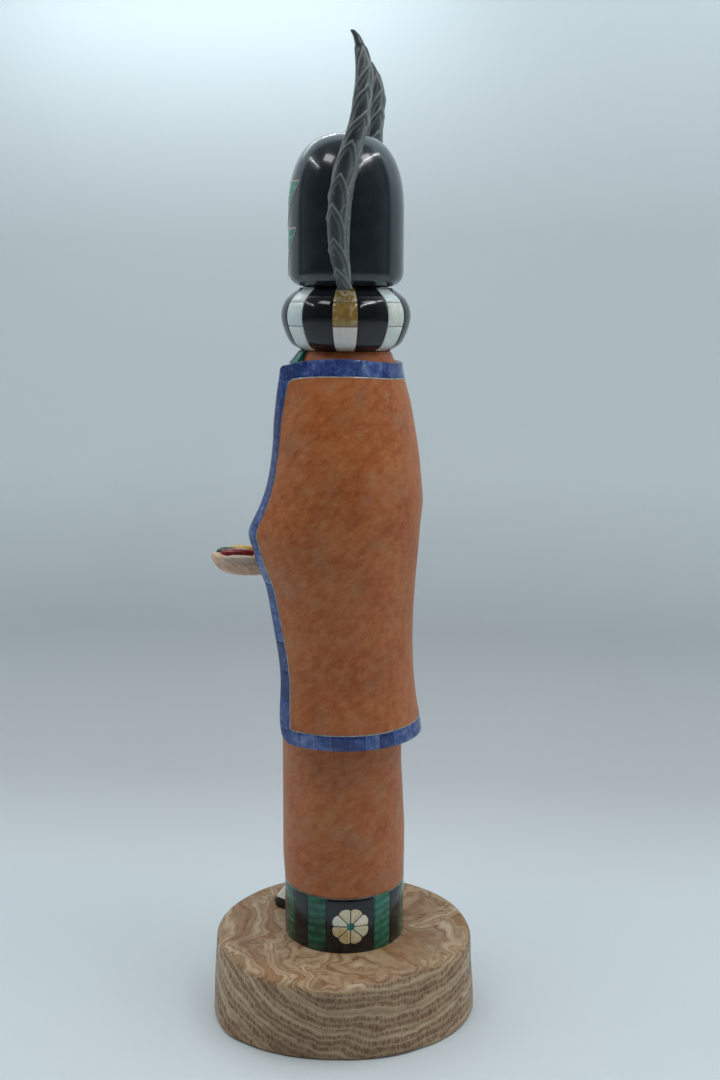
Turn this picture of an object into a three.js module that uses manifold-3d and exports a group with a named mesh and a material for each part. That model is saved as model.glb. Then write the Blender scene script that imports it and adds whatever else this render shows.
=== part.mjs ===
// An inlaid stone figure in a cape, with a winged helmet, standing on a round stone base.
// Millimetres, +Z up. The figure faces -Y and its left side is +X. The origin is under the base's centre.
import * as THREE from 'three';
import { mergeVertices } from 'three/addons/utils/BufferGeometryUtils.js';
import Module from 'manifold-3d';

const wasm = await Module();
wasm.setup();

// Clearance between neighbouring pieces
const fitGap = 0.3;

// Base
const baseRadius = 50;
const baseHeight = 31.6;
const baseTopRounding = 3.2;
const baseBottomRounding = 1.6;

// Dress and its hem band
const dressRadius = 22.9;
const dressFrontReach = 23.45;
const dressBackWaist = 21.4;
const bandHeight = 20.7;
const bandRadius = 22.8;
const bandDepth = 2.5;
const panelSweep = 47;
const panelTurn = 101.5;
const stripesPerSide = 7;
const flowerRadius = 7.1;
const flowerDepth = 1.2;
const petalCount = 8;
const wireThickness = 0.46;
const wireDepth = 1.1;
const wireProud = 0.08;

// Cape
const capeHemHeight = 80.8;
const capeHeight = 137.4;
const capeHemRadius = 29.1;
const borderWidth = 5.4;
const borderDepth = 1.6;
const hemJointAngle = 134;
const neckHeight = 3.4;
const neckTopRadius = 15.8;
const shoulderRadius = 17.4;

// Necklace strands on the neck
const strandWidth = 2.3;
const strandDepth = 1;
const innerStrandAngle = 25;
const outerStrandAngle = 38;

// Round collar under the helmet
const ruffHeight = 22;
const ruffRadius = 23.1;
const ruffEndRadius = 16.2;
const ruffCoreRadius = 4;
const ruffPairs = 7;
const ruffShellSweep = 22;
const ruffTurn = 94.75;

// Helmet
const headHeight = 52.8;
const headRadius = 20.45;
const headBottomRounding = 5;
const domeHeight = 29;
const domeFullness = 2.6;
const faceDepth = 1.2;
const faceTopHeight = 36.2;
const faceStepHeight = 20.2;
const faceTipHeight = 3.2;
const upperFaceAngle = 40.8;
const lowerFaceAngle = 37.8;
const faceNeckAngle = 7;

// Wings
const wingHeight = 82.7;
const wingWidth = 7.9;
const wingThickness = 16.4;
const wingReach = 28.8;
const featherLength = 21;
const featherWidth = 5.6;
const featherThickness = 2.6;
const featherLift = 0.5;
const wingDrop = 0.8;

// Hands and what lies in them
const handHeight = 58.6;
const handDepth = 8.2;
const handWidth = 9.6;
const handReach = 49;
const wristReach = 20.8;
const handSpread = 5.1;
const rightHandBack = 3.6;
const palmDepth = 2.6;
const palmLength = 16.1;
const palmWidth = 7.1;
const palmReach = 37.5;
const thumbRadius = 1.5;
const thumbLength = 13.7;
const thumbTurn = 4;
const earRadius = 1.85;
const earLength = 12.4;

// Boot
const bootLength = 12.5;
const bootWidth = 8.6;
const bootHeight = 7.6;
const soleThickness = 1.6;
const toeFullness = 1.2;
const bootTurn = -34;

// Heights that follow from the sizes above
const bandBottom = baseHeight + fitGap;
const bandTop = bandBottom + bandHeight;
const wireBottom = bandTop + fitGap;
const dressBottom = wireBottom + wireThickness + fitGap;
const capeBottom = baseHeight + capeHemHeight;
const capeTop = capeBottom + capeHeight;
const neckTop = capeTop + neckHeight;
const ruffBottom = neckTop + fitGap;
const ruffTop = ruffBottom + ruffHeight;
const headBottom = ruffTop + fitGap;
const wingBottom = headBottom - wingDrop;

// Mesh fineness
const baseSteps = 32;
const roundSteps = 28;
const bodySteps = 24;
const wireSteps = 14;
const faceLevels = 6;

// Longer than anything in the figure, for the blocks that only cut
const farAway = 6 * capeHemRadius;

const radians = THREE.MathUtils.degToRad;
const group = new THREE.Group();

// Stones and metals
const stones = {
  travertine: { color: 0x9c7858, roughness: 0.5, metalness: 0 },
  pipestone: { color: 0xa8602f, roughness: 0.4, metalness: 0 },
  lapis: { color: 0x2c4a94, roughness: 0.2, metalness: 0 },
  silver: { color: 0xd4d6d4, roughness: 0.3, metalness: 1 },
  jet: { color: 0x0d0d10, roughness: 0.15, metalness: 0 },
  malachite: { color: 0x1c6b4c, roughness: 0.2, metalness: 0 },
  shell: { color: 0xe9e4d6, roughness: 0.25, metalness: 0 },
  bandedShell: { color: 0xd9b79a, roughness: 0.35, metalness: 0 },
  turquoise: { color: 0x1f9a8c, roughness: 0.3, metalness: 0 },
  coral: { color: 0xa51f1c, roughness: 0.25, metalness: 0 },
  yellowStone: { color: 0xe2c145, roughness: 0.3, metalness: 0 },
};

function toSolid(geometry) {
  geometry.deleteAttribute('normal');
  geometry.deleteAttribute('uv');
  const merged = mergeVertices(geometry, 1e-4);
  return new wasm.Manifold(new wasm.Mesh({
    numProp: 3,
    vertProperties: new Float32Array(merged.attributes.position.array),
    triVerts: new Uint32Array(merged.index.array),
  }));
}

function addPiece(name, solid, stone) {
  const mesh = solid.getMesh();
  const geometry = new THREE.BufferGeometry();
  geometry.setAttribute('position', new THREE.BufferAttribute(new Float32Array(mesh.vertProperties), 3));
  geometry.setIndex(new THREE.BufferAttribute(new Uint32Array(mesh.triVerts), 1));
  geometry.computeVertexNormals();
  const piece = new THREE.Mesh(geometry, new THREE.MeshStandardMaterial(stones[stone]));
  piece.name = name;
  group.add(piece);
}

// A smooth curve through rows of [share, value, ...], read at any share for the given column
function through(rows, column) {
  return (share) => {
    const last = rows.length - 1;
    let row = rows.findIndex((entry) => entry[0] >= share);
    row = THREE.MathUtils.clamp(row < 0 ? last : row, 1, last);
    const slope = (at) => {
      const before = rows[Math.max(at - 1, 0)];
      const after = rows[Math.min(at + 1, last)];
      return (after[column] - before[column]) / (after[0] - before[0]);
    };
    const [low, high] = [rows[row - 1], rows[row]];
    const span = high[0] - low[0];
    const t = THREE.MathUtils.clamp((share - low[0]) / span, 0, 1);
    const rise = high[column] - low[column];
    const lowPull = slope(row - 1) * span - rise;
    const highPull = rise - slope(row) * span;
    return low[column] + rise * t + t * (1 - t) * (lowPull * (1 - t) + highPull * t);
  };
}

// A closed body through rings of equal point count, lowest first, each flat and counterclockwise seen from +Z
function loft(rings) {
  const count = rings[0].length;
  const index = [];
  for (let level = 0; level + 1 < rings.length; level += 1) {
    for (let step = 0; step < count; step += 1) {
      const next = (step + 1) % count;
      const low = level * count;
      const high = low + count;
      index.push(low + step, low + next, high + next, low + step, high + next, high + step);
    }
  }
  const flat = (ring) => ring.map((point) => new THREE.Vector2(point.x, point.y));
  const top = (rings.length - 1) * count;
  for (const [a, b, c] of THREE.ShapeUtils.triangulateShape(flat(rings[0]), [])) {
    index.push(c, b, a);
  }
  for (const [a, b, c] of THREE.ShapeUtils.triangulateShape(flat(rings.at(-1)), [])) {
    index.push(top + a, top + b, top + c);
  }
  const geometry = new THREE.BufferGeometry().setFromPoints(rings.flat());
  geometry.setIndex(index);
  return geometry;
}

// A round body about the Z axis, from rows of [radius, height] that start and end on the axis or close up
function revolve(profile, steps = roundSteps) {
  const points = profile.map(([radius, height]) => new THREE.Vector2(radius, height));
  return toSolid(new THREE.LatheGeometry(points, steps).rotateX(Math.PI / 2));
}

function disc(radius, low, high) {
  return revolve([[0, low], [radius, low], [radius, high], [0, high]]);
}

function hollowRing(inner, outer, low, high) {
  return revolve([[inner, low], [outer, low], [outer, high], [inner, high], [inner, low]]);
}

// A point at an angle from the front, counted towards the figure's left
function pointAt(angle, radius, height) {
  return new THREE.Vector3(Math.sin(angle) * radius, -Math.cos(angle) * radius, height);
}

// A wedge of a disc between two angles in degrees, for cutting a ring into tiles
function sector(from, to, low, high) {
  const steps = Math.ceil((to - from) / 30);
  const ring = (height) => {
    const points = [new THREE.Vector3(0, 0, height)];
    for (let step = 0; step <= steps; step += 1) {
      points.push(pointAt(radians(THREE.MathUtils.lerp(from, to, step / steps)), farAway, height));
    }
    return points;
  };
  return toSolid(loft([ring(low), ring(high)]));
}

// Half of the gap between two tiles, as an angle in degrees at a given radius
function halfGapAngle(radius) {
  return THREE.MathUtils.radToDeg(fitGap / 2 / radius);
}

// Base: a hand-cut slab. Each row is an angle from the front in degrees, then the top edge's and the foot's
// distance from the axis, as shares of the base's radius
const baseRows = [
  [0, 0.994, 1.014], [35, 0.978, 1.014], [47, 0.974, 0.974], [66, 0.975, 0.91], [90, 0.978, 0.862],
  [105, 0.92, 0.866], [120, 0.876, 0.886], [133, 0.87, 0.904], [144, 0.91, 0.938], [158, 0.966, 0.97],
  [180, 0.98, 1.014], [220, 0.992, 1.004], [270, 0.978, 0.978], [320, 0.99, 1.002], [360, 0.994, 1.014],
];
const topEdgeAt = through(baseRows, 1);
const footEdgeAt = through(baseRows, 2);

function basePiece() {
  const ring = (edgeAt, rounding, height, turn) => {
    const inward = rounding * (1 - Math.cos(radians(turn)));
    const points = [];
    for (let step = 0; step < baseSteps; step += 1) {
      const angle = (360 * step) / baseSteps;
      points.push(pointAt(radians(angle), edgeAt(angle) * baseRadius - inward, height));
    }
    return points;
  };
  const foot = [-90, -45, 0].map((turn) => {
    const height = baseBottomRounding * (1 + Math.sin(radians(turn)));
    return ring(footEdgeAt, baseBottomRounding, height, turn);
  });
  const shoulder = [0, 45, 90].map((turn) => {
    const height = baseHeight - baseTopRounding * (1 - Math.sin(radians(turn)));
    return ring(topEdgeAt, baseTopRounding, height, turn);
  });
  return toSolid(loft([...foot, ...shoulder]));
}

// Cape: half-width, depth to the back and the front edge's place, all as shares of the hem's radius
const sideRows = [
  [0, 1], [0.131, 0.973], [0.287, 0.976], [0.433, 1.014], [0.531, 1.048], [0.628, 1.058],
  [0.726, 1.03], [0.823, 0.948], [0.892, 0.86], [0.97, 0.749], [1, 0.705],
];
const backRows = [
  [0, 0.993], [0.131, 0.897], [0.262, 0.866], [0.384, 0.883], [0.511, 0.928], [0.58, 0.952], [0.631, 0.973],
  [0.704, 0.945], [0.765, 0.914], [0.826, 0.866], [0.893, 0.808], [0.97, 0.718], [1, 0.7],
];
// Each row: share of the cape's height, half of the opening, reach forward
const edgeRows = [
  [0, 0.77, 0.634], [0.012, 0.73, 0.7], [0.027, 0.7, 0.733], [0.069, 0.67, 0.756], [0.163, 0.62, 0.749],
  [0.228, 0.59, 0.777], [0.3, 0.56, 0.838], [0.358, 0.54, 0.887], [0.417, 0.52, 0.945],
  [0.47, 0.505, 1.048], [0.51, 0.5, 1.103], [0.546, 0.495, 1.153], [0.568, 0.49, 1.144],
  [0.619, 0.48, 1.031], [0.669, 0.47, 0.945], [0.727, 0.462, 0.887], [0.792, 0.455, 0.852],
  [0.85, 0.45, 0.838], [0.929, 0.44, 0.8], [0.97, 0.435, 0.773], [1, 0.43, 0.76],
];
const capeShares = [0, 0.015, 0.04, 0.125, 0.24, 0.36, 0.45, 0.51, 0.55, 0.6, 0.68, 0.78, 0.89, 1];
const sideAt = through(sideRows, 1);
const backAt = through(backRows, 1);
const openingAt = through(edgeRows, 1);
const reachAt = through(edgeRows, 2);

function capeForm(share) {
  const side = sideAt(share) * capeHemRadius;
  const edgeX = openingAt(share) * capeHemRadius;
  const edgeY = reachAt(share) * capeHemRadius;
  const front = edgeY / Math.sqrt(1 - (edgeX / side) ** 2);
  return { side, front, back: backAt(share) * capeHemRadius, edgeAngle: Math.asin(edgeX / side) };
}

function ovalRing(side, front, back, height, steps) {
  const ring = [];
  for (let step = 0; step < steps; step += 1) {
    const angle = (2 * Math.PI * step) / steps;
    const depth = Math.cos(angle) > 0 ? front : back;
    ring.push(new THREE.Vector3(Math.sin(angle) * side, -Math.cos(angle) * depth, height));
  }
  return ring;
}

function capeBody(inset, overrun = 0) {
  return toSolid(loft(capeShares.map((share, at) => {
    const form = capeForm(share);
    const end = at === 0 ? -overrun : at === capeShares.length - 1 ? overrun : 0;
    const height = capeBottom + share * capeHeight + end;
    return ovalRing(form.side - inset, form.front - inset, form.back - inset, height, bodySteps);
  })));
}

// The angle of a line that keeps a distance from the front edge, measured along the cape's surface
function angleFromEdge(share, along) {
  const form = capeForm(share);
  const stretch = Math.hypot(form.side * Math.cos(form.edgeAngle), form.front * Math.sin(form.edgeAngle));
  return form.edgeAngle + along / stretch;
}

function capePoint([share, angle], inset) {
  const form = capeForm(share);
  const depth = (Math.cos(angle) > 0 ? form.front : form.back) - inset;
  const across = Math.sin(angle) * (form.side - inset);
  return new THREE.Vector3(across, -Math.cos(angle) * depth, capeBottom + share * capeHeight);
}

// The front opening, widened on both sides by a distance measured along the cape's surface
function frontOpening(along) {
  return toSolid(loft(capeShares.map((share, at) => {
    const overrun = at === 0 ? -1 : at === capeShares.length - 1 ? 1 : 0;
    const edge = capePoint([share, angleFromEdge(share, along)], 0);
    const height = edge.z + overrun;
    const far = edge.clone().setZ(0).setLength(farAway);
    return [
      new THREE.Vector3(0, 0, height),
      new THREE.Vector3(-edge.x, edge.y, height),
      new THREE.Vector3(-far.x, far.y, height),
      new THREE.Vector3(far.x, far.y, height),
      new THREE.Vector3(edge.x, edge.y, height),
    ];
  })));
}

// Everything inside the cape's border when that border is of the given width
function insideBorder(width) {
  return disc(farAway, capeBottom + width, capeTop - width).subtract(frontOpening(width));
}

// The wire's course: round the hem, up one front edge, round the neckline and down the other front edge
function borderLine(along) {
  const low = along / capeHeight;
  const high = 1 - low;
  const line = [];
  const round = (share, from, to) => {
    for (let step = 0; step <= wireSteps; step += 1) {
      line.push([share, THREE.MathUtils.lerp(from, to, step / wireSteps)]);
    }
  };
  const [lowAngle, highAngle] = [angleFromEdge(low, along), angleFromEdge(high, along)];
  const fullTurn = 2 * Math.PI;
  const rising = capeShares.filter((share) => share > low && share < high);
  round(low, lowAngle, fullTurn - lowAngle);
  rising.forEach((share) => line.push([share, fullTurn - angleFromEdge(share, along)]));
  round(high, fullTurn - highAngle, highAngle);
  rising.reverse().forEach((share) => line.push([share, angleFromEdge(share, along)]));
  return line;
}

// A closed loop of wire: at each point of its course a small rectangle let into the cape
function wireLoop(along) {
  const course = borderLine(along);
  const count = course.length;
  const sections = course.map((place, at) => {
    const outer = capePoint(place, 0);
    const inner = capePoint(place, wireDepth);
    const before = capePoint(course[(at + count - 1) % count], 0).sub(outer).normalize();
    const after = capePoint(course[(at + 1) % count], 0).sub(outer).normalize();
    const run = after.clone().sub(before).normalize();
    const sideways = run.cross(outer.clone().sub(inner).normalize()).normalize();
    const widen = 1 / Math.max(0.5, Math.abs(sideways.clone().cross(after).length()));
    sideways.multiplyScalar(wireThickness / 2 * widen);
    return [
      outer.clone().sub(sideways), outer.clone().add(sideways),
      inner.clone().add(sideways), inner.clone().sub(sideways),
    ];
  });
  const corners = 4;
  const index = [];
  for (let at = 0; at < count; at += 1) {
    const here = at * corners;
    const there = ((at + 1) % count) * corners;
    for (let corner = 0; corner < corners; corner += 1) {
      const next = (corner + 1) % corners;
      index.push(here + corner, here + next, there + next, here + corner, there + next, there + corner);
    }
  }
  const geometry = new THREE.BufferGeometry().setFromPoints(sections.flat());
  geometry.setIndex(index);
  return toSolid(geometry);
}

// Dress, from the top of the hem band to the neck
function dressBody() {
  const rows = [
    [dressBottom, bandRadius, bandRadius, bandRadius],
    [dressBottom + 0.12 * capeHemHeight, dressRadius, dressFrontReach, dressRadius],
    [baseHeight + 0.52 * capeHemHeight, dressRadius, dressFrontReach, dressRadius],
    [baseHeight + 0.85 * capeHemHeight, dressRadius, dressFrontReach, dressBackWaist],
    [capeBottom + 0.58 * capeHeight, dressRadius, dressFrontReach, dressBackWaist],
    [capeBottom + 0.8 * capeHeight, 0.95 * dressRadius, 0.95 * dressFrontReach, 0.95 * dressBackWaist],
    [capeTop, shoulderRadius, shoulderRadius, shoulderRadius],
    [neckTop, neckTopRadius, neckTopRadius, neckTopRadius],
  ];
  const rings = rows.map(([height, side, front, back]) => ovalRing(side, front, back, height, bodySteps));
  return toSolid(loft(rings));
}

// A thin upright plate from the axis forwards, for the strands that run down the neck
function strandPlate(angle, grow) {
  const height = neckHeight - 4 * fitGap + 2 * grow;
  const plate = new THREE.BoxGeometry(strandWidth + 2 * grow, farAway, height);
  plate.translate(0, -farAway / 2, capeTop + neckHeight / 2);
  return toSolid(plate.rotateZ(radians(angle)));
}

function neckCore(depth) {
  return revolve([
    [0, capeTop - 1], [shoulderRadius - depth, capeTop - 1], [shoulderRadius - depth, capeTop],
    [neckTopRadius - depth, neckTop], [0, neckTop],
  ]);
}

const strands = [
  ['necklace_malachite_left', innerStrandAngle, 'malachite'],
  ['necklace_malachite_right', -innerStrandAngle, 'malachite'],
  ['necklace_turquoise_left', outerStrandAngle, 'turquoise'],
  ['necklace_turquoise_right', -outerStrandAngle, 'turquoise'],
];

// Hands: a cupped palm lofted along its own Z from the wrist to the fingertips, then laid along -Y
// Each row: share of the length, half-width and height of the underside as shares
const handRows = [
  [0, 0.36, 0.09], [0.135, 0.36, 0.09], [0.308, 0.43, 0.04], [0.498, 0.49, 0], [0.654, 0.5, 0.02],
  [0.784, 0.46, 0.1], [0.879, 0.38, 0.25], [0.948, 0.27, 0.46], [0.987, 0.15, 0.68], [1, 0.08, 0.78],
];
const handSteps = 10;

// The hand's cross-section: where it is widest below the rim, and how square its side, rim and underside are
const widestShare = 0.35;
const sideFullness = 0.75;
const rimFullness = 0.5;
const underFullness = 0.85;
const palmHeight = capeBottom + handHeight;

function layForward(geometry) {
  return geometry.rotateX(Math.PI / 2);
}

function handRing([share, halfShare, underShare], grow) {
  const half = halfShare * handWidth + grow;
  const top = handDepth + grow;
  const under = underShare * handDepth - grow;
  const middle = THREE.MathUtils.lerp(top, under, widestShare);
  const overrun = share === 0 ? -grow : share === 1 ? grow : 0;
  const along = THREE.MathUtils.lerp(wristReach, handReach, share) + overrun;
  const ring = [];
  for (let step = 0; step < handSteps; step += 1) {
    const angle = (2 * Math.PI * (step + 0.5)) / handSteps;
    const across = Math.sign(Math.sin(angle)) * Math.abs(Math.sin(angle)) ** sideFullness;
    const rise = -Math.cos(angle);
    const up = rise > 0 ? (top - middle) * rise ** rimFullness : (under - middle) * (-rise) ** underFullness;
    ring.push(new THREE.Vector3(across * half, middle + up, along));
  }
  return ring;
}

function spindle(length, radius, turns = 10, rows = 5) {
  const profile = [];
  for (let row = 0; row <= rows; row += 1) {
    const angle = Math.PI * (row / rows - 0.5);
    profile.push(new THREE.Vector2(Math.cos(angle) * radius, Math.sin(angle) * length / 2));
  }
  profile[0].x = 0;
  profile[rows].x = 0;
  return new THREE.LatheGeometry(profile, turns);
}

function handBody(side, grow) {
  const setBack = side > 0 ? 0 : rightHandBack;
  const place = (geometry) => toSolid(geometry.translate(side * handSpread, setBack, palmHeight));
  const palm = place(layForward(loft(handRows.map((row) => handRing(row, grow)))));
  const thumb = spindle(thumbLength + 2 * grow, thumbRadius + grow, 6);
  thumb.rotateZ(radians(-side * thumbTurn));
  const thumbOut = (handWidth - thumbRadius) / 2;
  thumb.translate(side * thumbOut, -palmReach, handDepth - thumbRadius);
  return palm.add(place(thumb));
}

// What lies in the palms: name, stone, length share, place across and forward, height over the rim, turn
const earRows = [
  ['ear_red', 'coral', 1, 5.7, 39.2, -0.15, 2],
  ['ear_yellow', 'yellowStone', 1.02, -0.9, 38.5, 0.9, -2],
  ['ear_green', 'malachite', 0.72, 2.1, 43.3, -0.2, 6],
];

function earBody([, , share, across, forward, over, turn], grow) {
  const ear = spindle(earLength * share + 2 * grow, earRadius + grow, 8);
  ear.rotateZ(radians(turn));
  return toSolid(ear.translate(across, -forward, palmHeight + handDepth + over));
}

function handPiece(side) {
  const setBack = side > 0 ? 0 : rightHandBack;
  const hollow = spindle(palmLength, palmWidth / 2, 8);
  hollow.scale(1, 1, (2 * palmDepth) / palmWidth);
  hollow.translate(side * handSpread, setBack - palmReach, palmHeight + handDepth);
  let hand = handBody(side, 0).subtract(toSolid(hollow));
  for (const row of earRows) {
    hand = hand.subtract(earBody(row, fitGap));
  }
  return hand;
}

// Wings: each row is the share of the height, then the centre's place outward and backward, half of the
// thickness outward and half of the width from front to back, as shares of the reach, thickness and width
const wingRows = [
  [0, 0.82, 0.24, 0.18, 0.32], [0.036, 0.86, 0.18, 0.24, 0.34], [0.13, 0.92, 0.05, 0.35, 0.42],
  [0.236, 0.97, 0.02, 0.43, 0.48], [0.34, 1, 0.09, 0.47, 0.48], [0.436, 1.01, 0.27, 0.49, 0.47],
  [0.552, 1.02, 0.6, 0.49, 0.4], [0.65, 1.02, 0.9, 0.44, 0.35], [0.746, 1.02, 1.01, 0.38, 0.3],
  [0.83, 1.02, 1.08, 0.3, 0.28], [0.9, 1.01, 0.98, 0.22, 0.235], [0.96, 1.01, 0.78, 0.13, 0.16],
  [0.99, 1, 0.56, 0.08, 0.09], [1, 1, 0.5, 0.03, 0.04],
];
// Each row: a feather tip's share of the wing's height, and its place behind the wing's middle as a share of
// the width
const featherTips = [
  [0.95, 0.1], [0.88, 0.23], [0.8, 0.23], [0.695, 0.22], [0.58, 0.04],
  [0.455, -0.03], [0.34, -0.13], [0.209, -0.08], [0.093, -0.09],
];
const featherShare = 0.9;
const wingSteps = 8;
const wingShares = [0, 0.06, 0.2, 0.34, 0.46, 0.58, 0.7, 0.82, 0.92, 0.98, 1];
const outwardAt = through(wingRows, 1);
const backwardAt = through(wingRows, 2);
const halfThickAt = through(wingRows, 3);
const halfWidthAt = through(wingRows, 4);

function wingForm(share) {
  return {
    out: outwardAt(share) * wingReach,
    back: backwardAt(share) * wingWidth,
    halfThick: halfThickAt(share) * wingThickness,
    halfWidth: halfWidthAt(share) * wingWidth,
    height: wingBottom + share * wingHeight,
  };
}

// A feather lies on the wing's outer face, sunk at its root and lifted at its tip
function feather(side, tip, shift) {
  const root = Math.max(tip - featherLength / wingHeight, 0.01);
  const [low, high] = [wingForm(root), wingForm(tip)];
  const sunk = low.out + low.halfThick - featherThickness;
  const lifted = high.out + high.halfThick + featherLift;
  const start = new THREE.Vector3(side * sunk, low.back, low.height);
  const end = new THREE.Vector3(side * lifted, high.back + shift * wingWidth, high.height);
  const width = Math.min(featherWidth, featherShare * 2 * high.halfWidth);
  const blade = spindle(start.distanceTo(end), 0.5, 6, 3);
  blade.scale(featherThickness, 1, width);
  const aim = new THREE.Quaternion().setFromUnitVectors(
    new THREE.Vector3(0, 1, 0),
    end.clone().sub(start).normalize(),
  );
  blade.applyQuaternion(aim);
  const middle = start.add(end).multiplyScalar(0.5);
  return toSolid(blade.translate(middle.x, middle.y, middle.z));
}

function wingPiece(side, helmetRoom) {
  const rings = wingShares.map((share) => {
    const form = wingForm(share);
    const ring = ovalRing(form.halfThick, form.halfWidth, form.halfWidth, form.height, wingSteps);
    return ring.map((point) => point.add(new THREE.Vector3(side * form.out, form.back, 0)));
  });
  let wing = toSolid(loft(rings));
  for (const [tip, shift] of featherTips) {
    wing = wing.add(feather(side, tip, shift));
  }
  return wing.subtract(helmetRoom);
}

// Helmet: a straight wall with a rounded foot and a full dome, measured inwards from its surface
function helmet(inset) {
  const radius = headRadius - inset;
  const bottom = headBottom + inset;
  const top = headBottom + headHeight - inset;
  const rows = [[0, bottom]];
  for (let step = 0; step <= 2; step += 1) {
    const angle = radians(-90 + 45 * step);
    const inward = radius - headBottomRounding + Math.cos(angle) * headBottomRounding;
    rows.push([inward, bottom + headBottomRounding * (1 + Math.sin(angle))]);
  }
  const wall = top - domeHeight + inset;
  const steps = 5;
  for (let step = 0; step <= steps; step += 1) {
    const angle = (Math.PI / 2) * (step / steps);
    const across = Math.cos(angle) ** (2 / domeFullness);
    const up = Math.sin(angle) ** (2 / domeFullness);
    rows.push([step === steps ? 0 : radius * across, wall + (domeHeight - inset) * up]);
  }
  return revolve(rows);
}

// A wedge that opens towards the front, from one half-angle at the bottom to another at the top
function frontWedge(low, high, lowAngle, highAngle) {
  const rings = [];
  for (let level = 0; level <= faceLevels; level += 1) {
    const height = THREE.MathUtils.lerp(low, high, level / faceLevels);
    const angle = radians(THREE.MathUtils.lerp(lowAngle, highAngle, level / faceLevels));
    rings.push([
      new THREE.Vector3(0, 0, height),
      pointAt(-angle, headRadius, height),
      pointAt(-angle, farAway, height),
      pointAt(angle, farAway, height),
      pointAt(angle, headRadius, height),
    ]);
  }
  return toSolid(loft(rings));
}

function faceTiers(grow) {
  const side = 3 * halfGapAngle(headRadius) * (grow / fitGap);
  const step = headBottom + faceStepHeight;
  const top = headBottom + faceTopHeight;
  const tip = headBottom + faceTipHeight;
  return {
    upper: frontWedge(step + fitGap / 2 - grow, top + grow, faceNeckAngle + side, upperFaceAngle + side),
    lower: frontWedge(tip - grow, step - fitGap / 2 + grow, 0.6 + side, lowerFaceAngle + side),
  };
}

// Each row: place across the petal, then reach, as shares
const petalRows = [[-0.9, 0.27], [-0.8, 0.9], [0, 1], [0.8, 0.9], [0.9, 0.27]];

// Flower: petals joined at the middle, cut from a flat blank and kept to the band's own curve
function flowerSolid(turn) {
  const outline = [];
  const pitch = 360 / petalCount;
  const half = pitch / 2;
  for (let petal = 0; petal < petalCount; petal += 1) {
    const middle = (petal + 0.5) * pitch;
    for (const [offset, reach] of petalRows) {
      const angle = radians(middle + offset * half);
      outline.push(new THREE.Vector2(Math.cos(angle), Math.sin(angle)).multiplyScalar(reach * flowerRadius));
    }
  }
  const blank = new THREE.ExtrudeGeometry(new THREE.Shape(outline), { depth: farAway, bevelEnabled: false });
  return toSolid(placeOnBand(blank, turn));
}

function placeOnBand(geometry, turn) {
  geometry.rotateX(Math.PI / 2);
  geometry.translate(0, 0, (bandBottom + bandTop) / 2);
  return geometry.rotateZ(radians(turn));
}

function flowerPocket(turn) {
  const blank = new THREE.CylinderGeometry(flowerRadius + fitGap, flowerRadius + fitGap, farAway, 14);
  blank.rotateX(Math.PI / 2);
  blank.translate(0, 0, farAway / 2);
  return toSolid(placeOnBand(blank, turn));
}

// Base and body
addPiece('base', basePiece(), 'travertine');

const helmetBody = helmet(0);
const opening = frontOpening(0);
const handRoom = handBody(1, fitGap).add(handBody(-1, fitGap));
const pocket = capeBody(-fitGap, fitGap)
  .subtract(capeBody(borderDepth + fitGap, 2 * fitGap))
  .subtract(insideBorder(borderWidth + 2 * fitGap + wireThickness));
let body = capeBody(0).subtract(opening);
body = body.add(disc(bandRadius - bandDepth - fitGap, bandBottom, dressBottom + 1)).add(dressBody());
for (const [, angle] of strands) {
  body = body.subtract(strandPlate(angle, fitGap).subtract(neckCore(strandDepth + fitGap)));
}
addPiece('body', body.subtract(handRoom).subtract(pocket), 'pipestone');

// Necklace strands
for (const [name, angle, stone] of strands) {
  addPiece(name, strandPlate(angle, 0).intersect(dressBody()).subtract(neckCore(strandDepth)), stone);
}

// Cape border: tiles of the hem, the front edges and the neckline, and the wire inside them
const border = capeBody(0)
  .subtract(capeBody(borderDepth, fitGap))
  .subtract(insideBorder(borderWidth))
  .subtract(opening)
  .subtract(handRoom);
const hemLine = capeBottom + borderWidth;
const neckLine = capeTop - borderWidth;
const tileGap = halfGapAngle(capeHemRadius);
const borderTiles = [
  ['cape_border_hem_left', 0, hemJointAngle - tileGap, capeBottom - 1, hemLine],
  ['cape_border_hem_back', hemJointAngle + tileGap, 360 - hemJointAngle - tileGap, capeBottom - 1, hemLine],
  ['cape_border_hem_right', 360 - hemJointAngle + tileGap, 360, capeBottom - 1, hemLine],
  ['cape_border_front_left', 0, 180, hemLine + fitGap, neckLine - fitGap],
  ['cape_border_front_right', 180, 360, hemLine + fitGap, neckLine - fitGap],
  ['cape_border_neck_left', 0, 180 - tileGap, neckLine, capeTop + 1],
  ['cape_border_neck_right', 180 + tileGap, 360, neckLine, capeTop + 1],
];
for (const [name, from, to, low, high] of borderTiles) {
  addPiece(name, border.intersect(sector(from, to, low, high)), 'lapis');
}
addPiece('cape_wire', wireLoop(borderWidth + fitGap + wireThickness / 2), 'silver');

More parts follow.
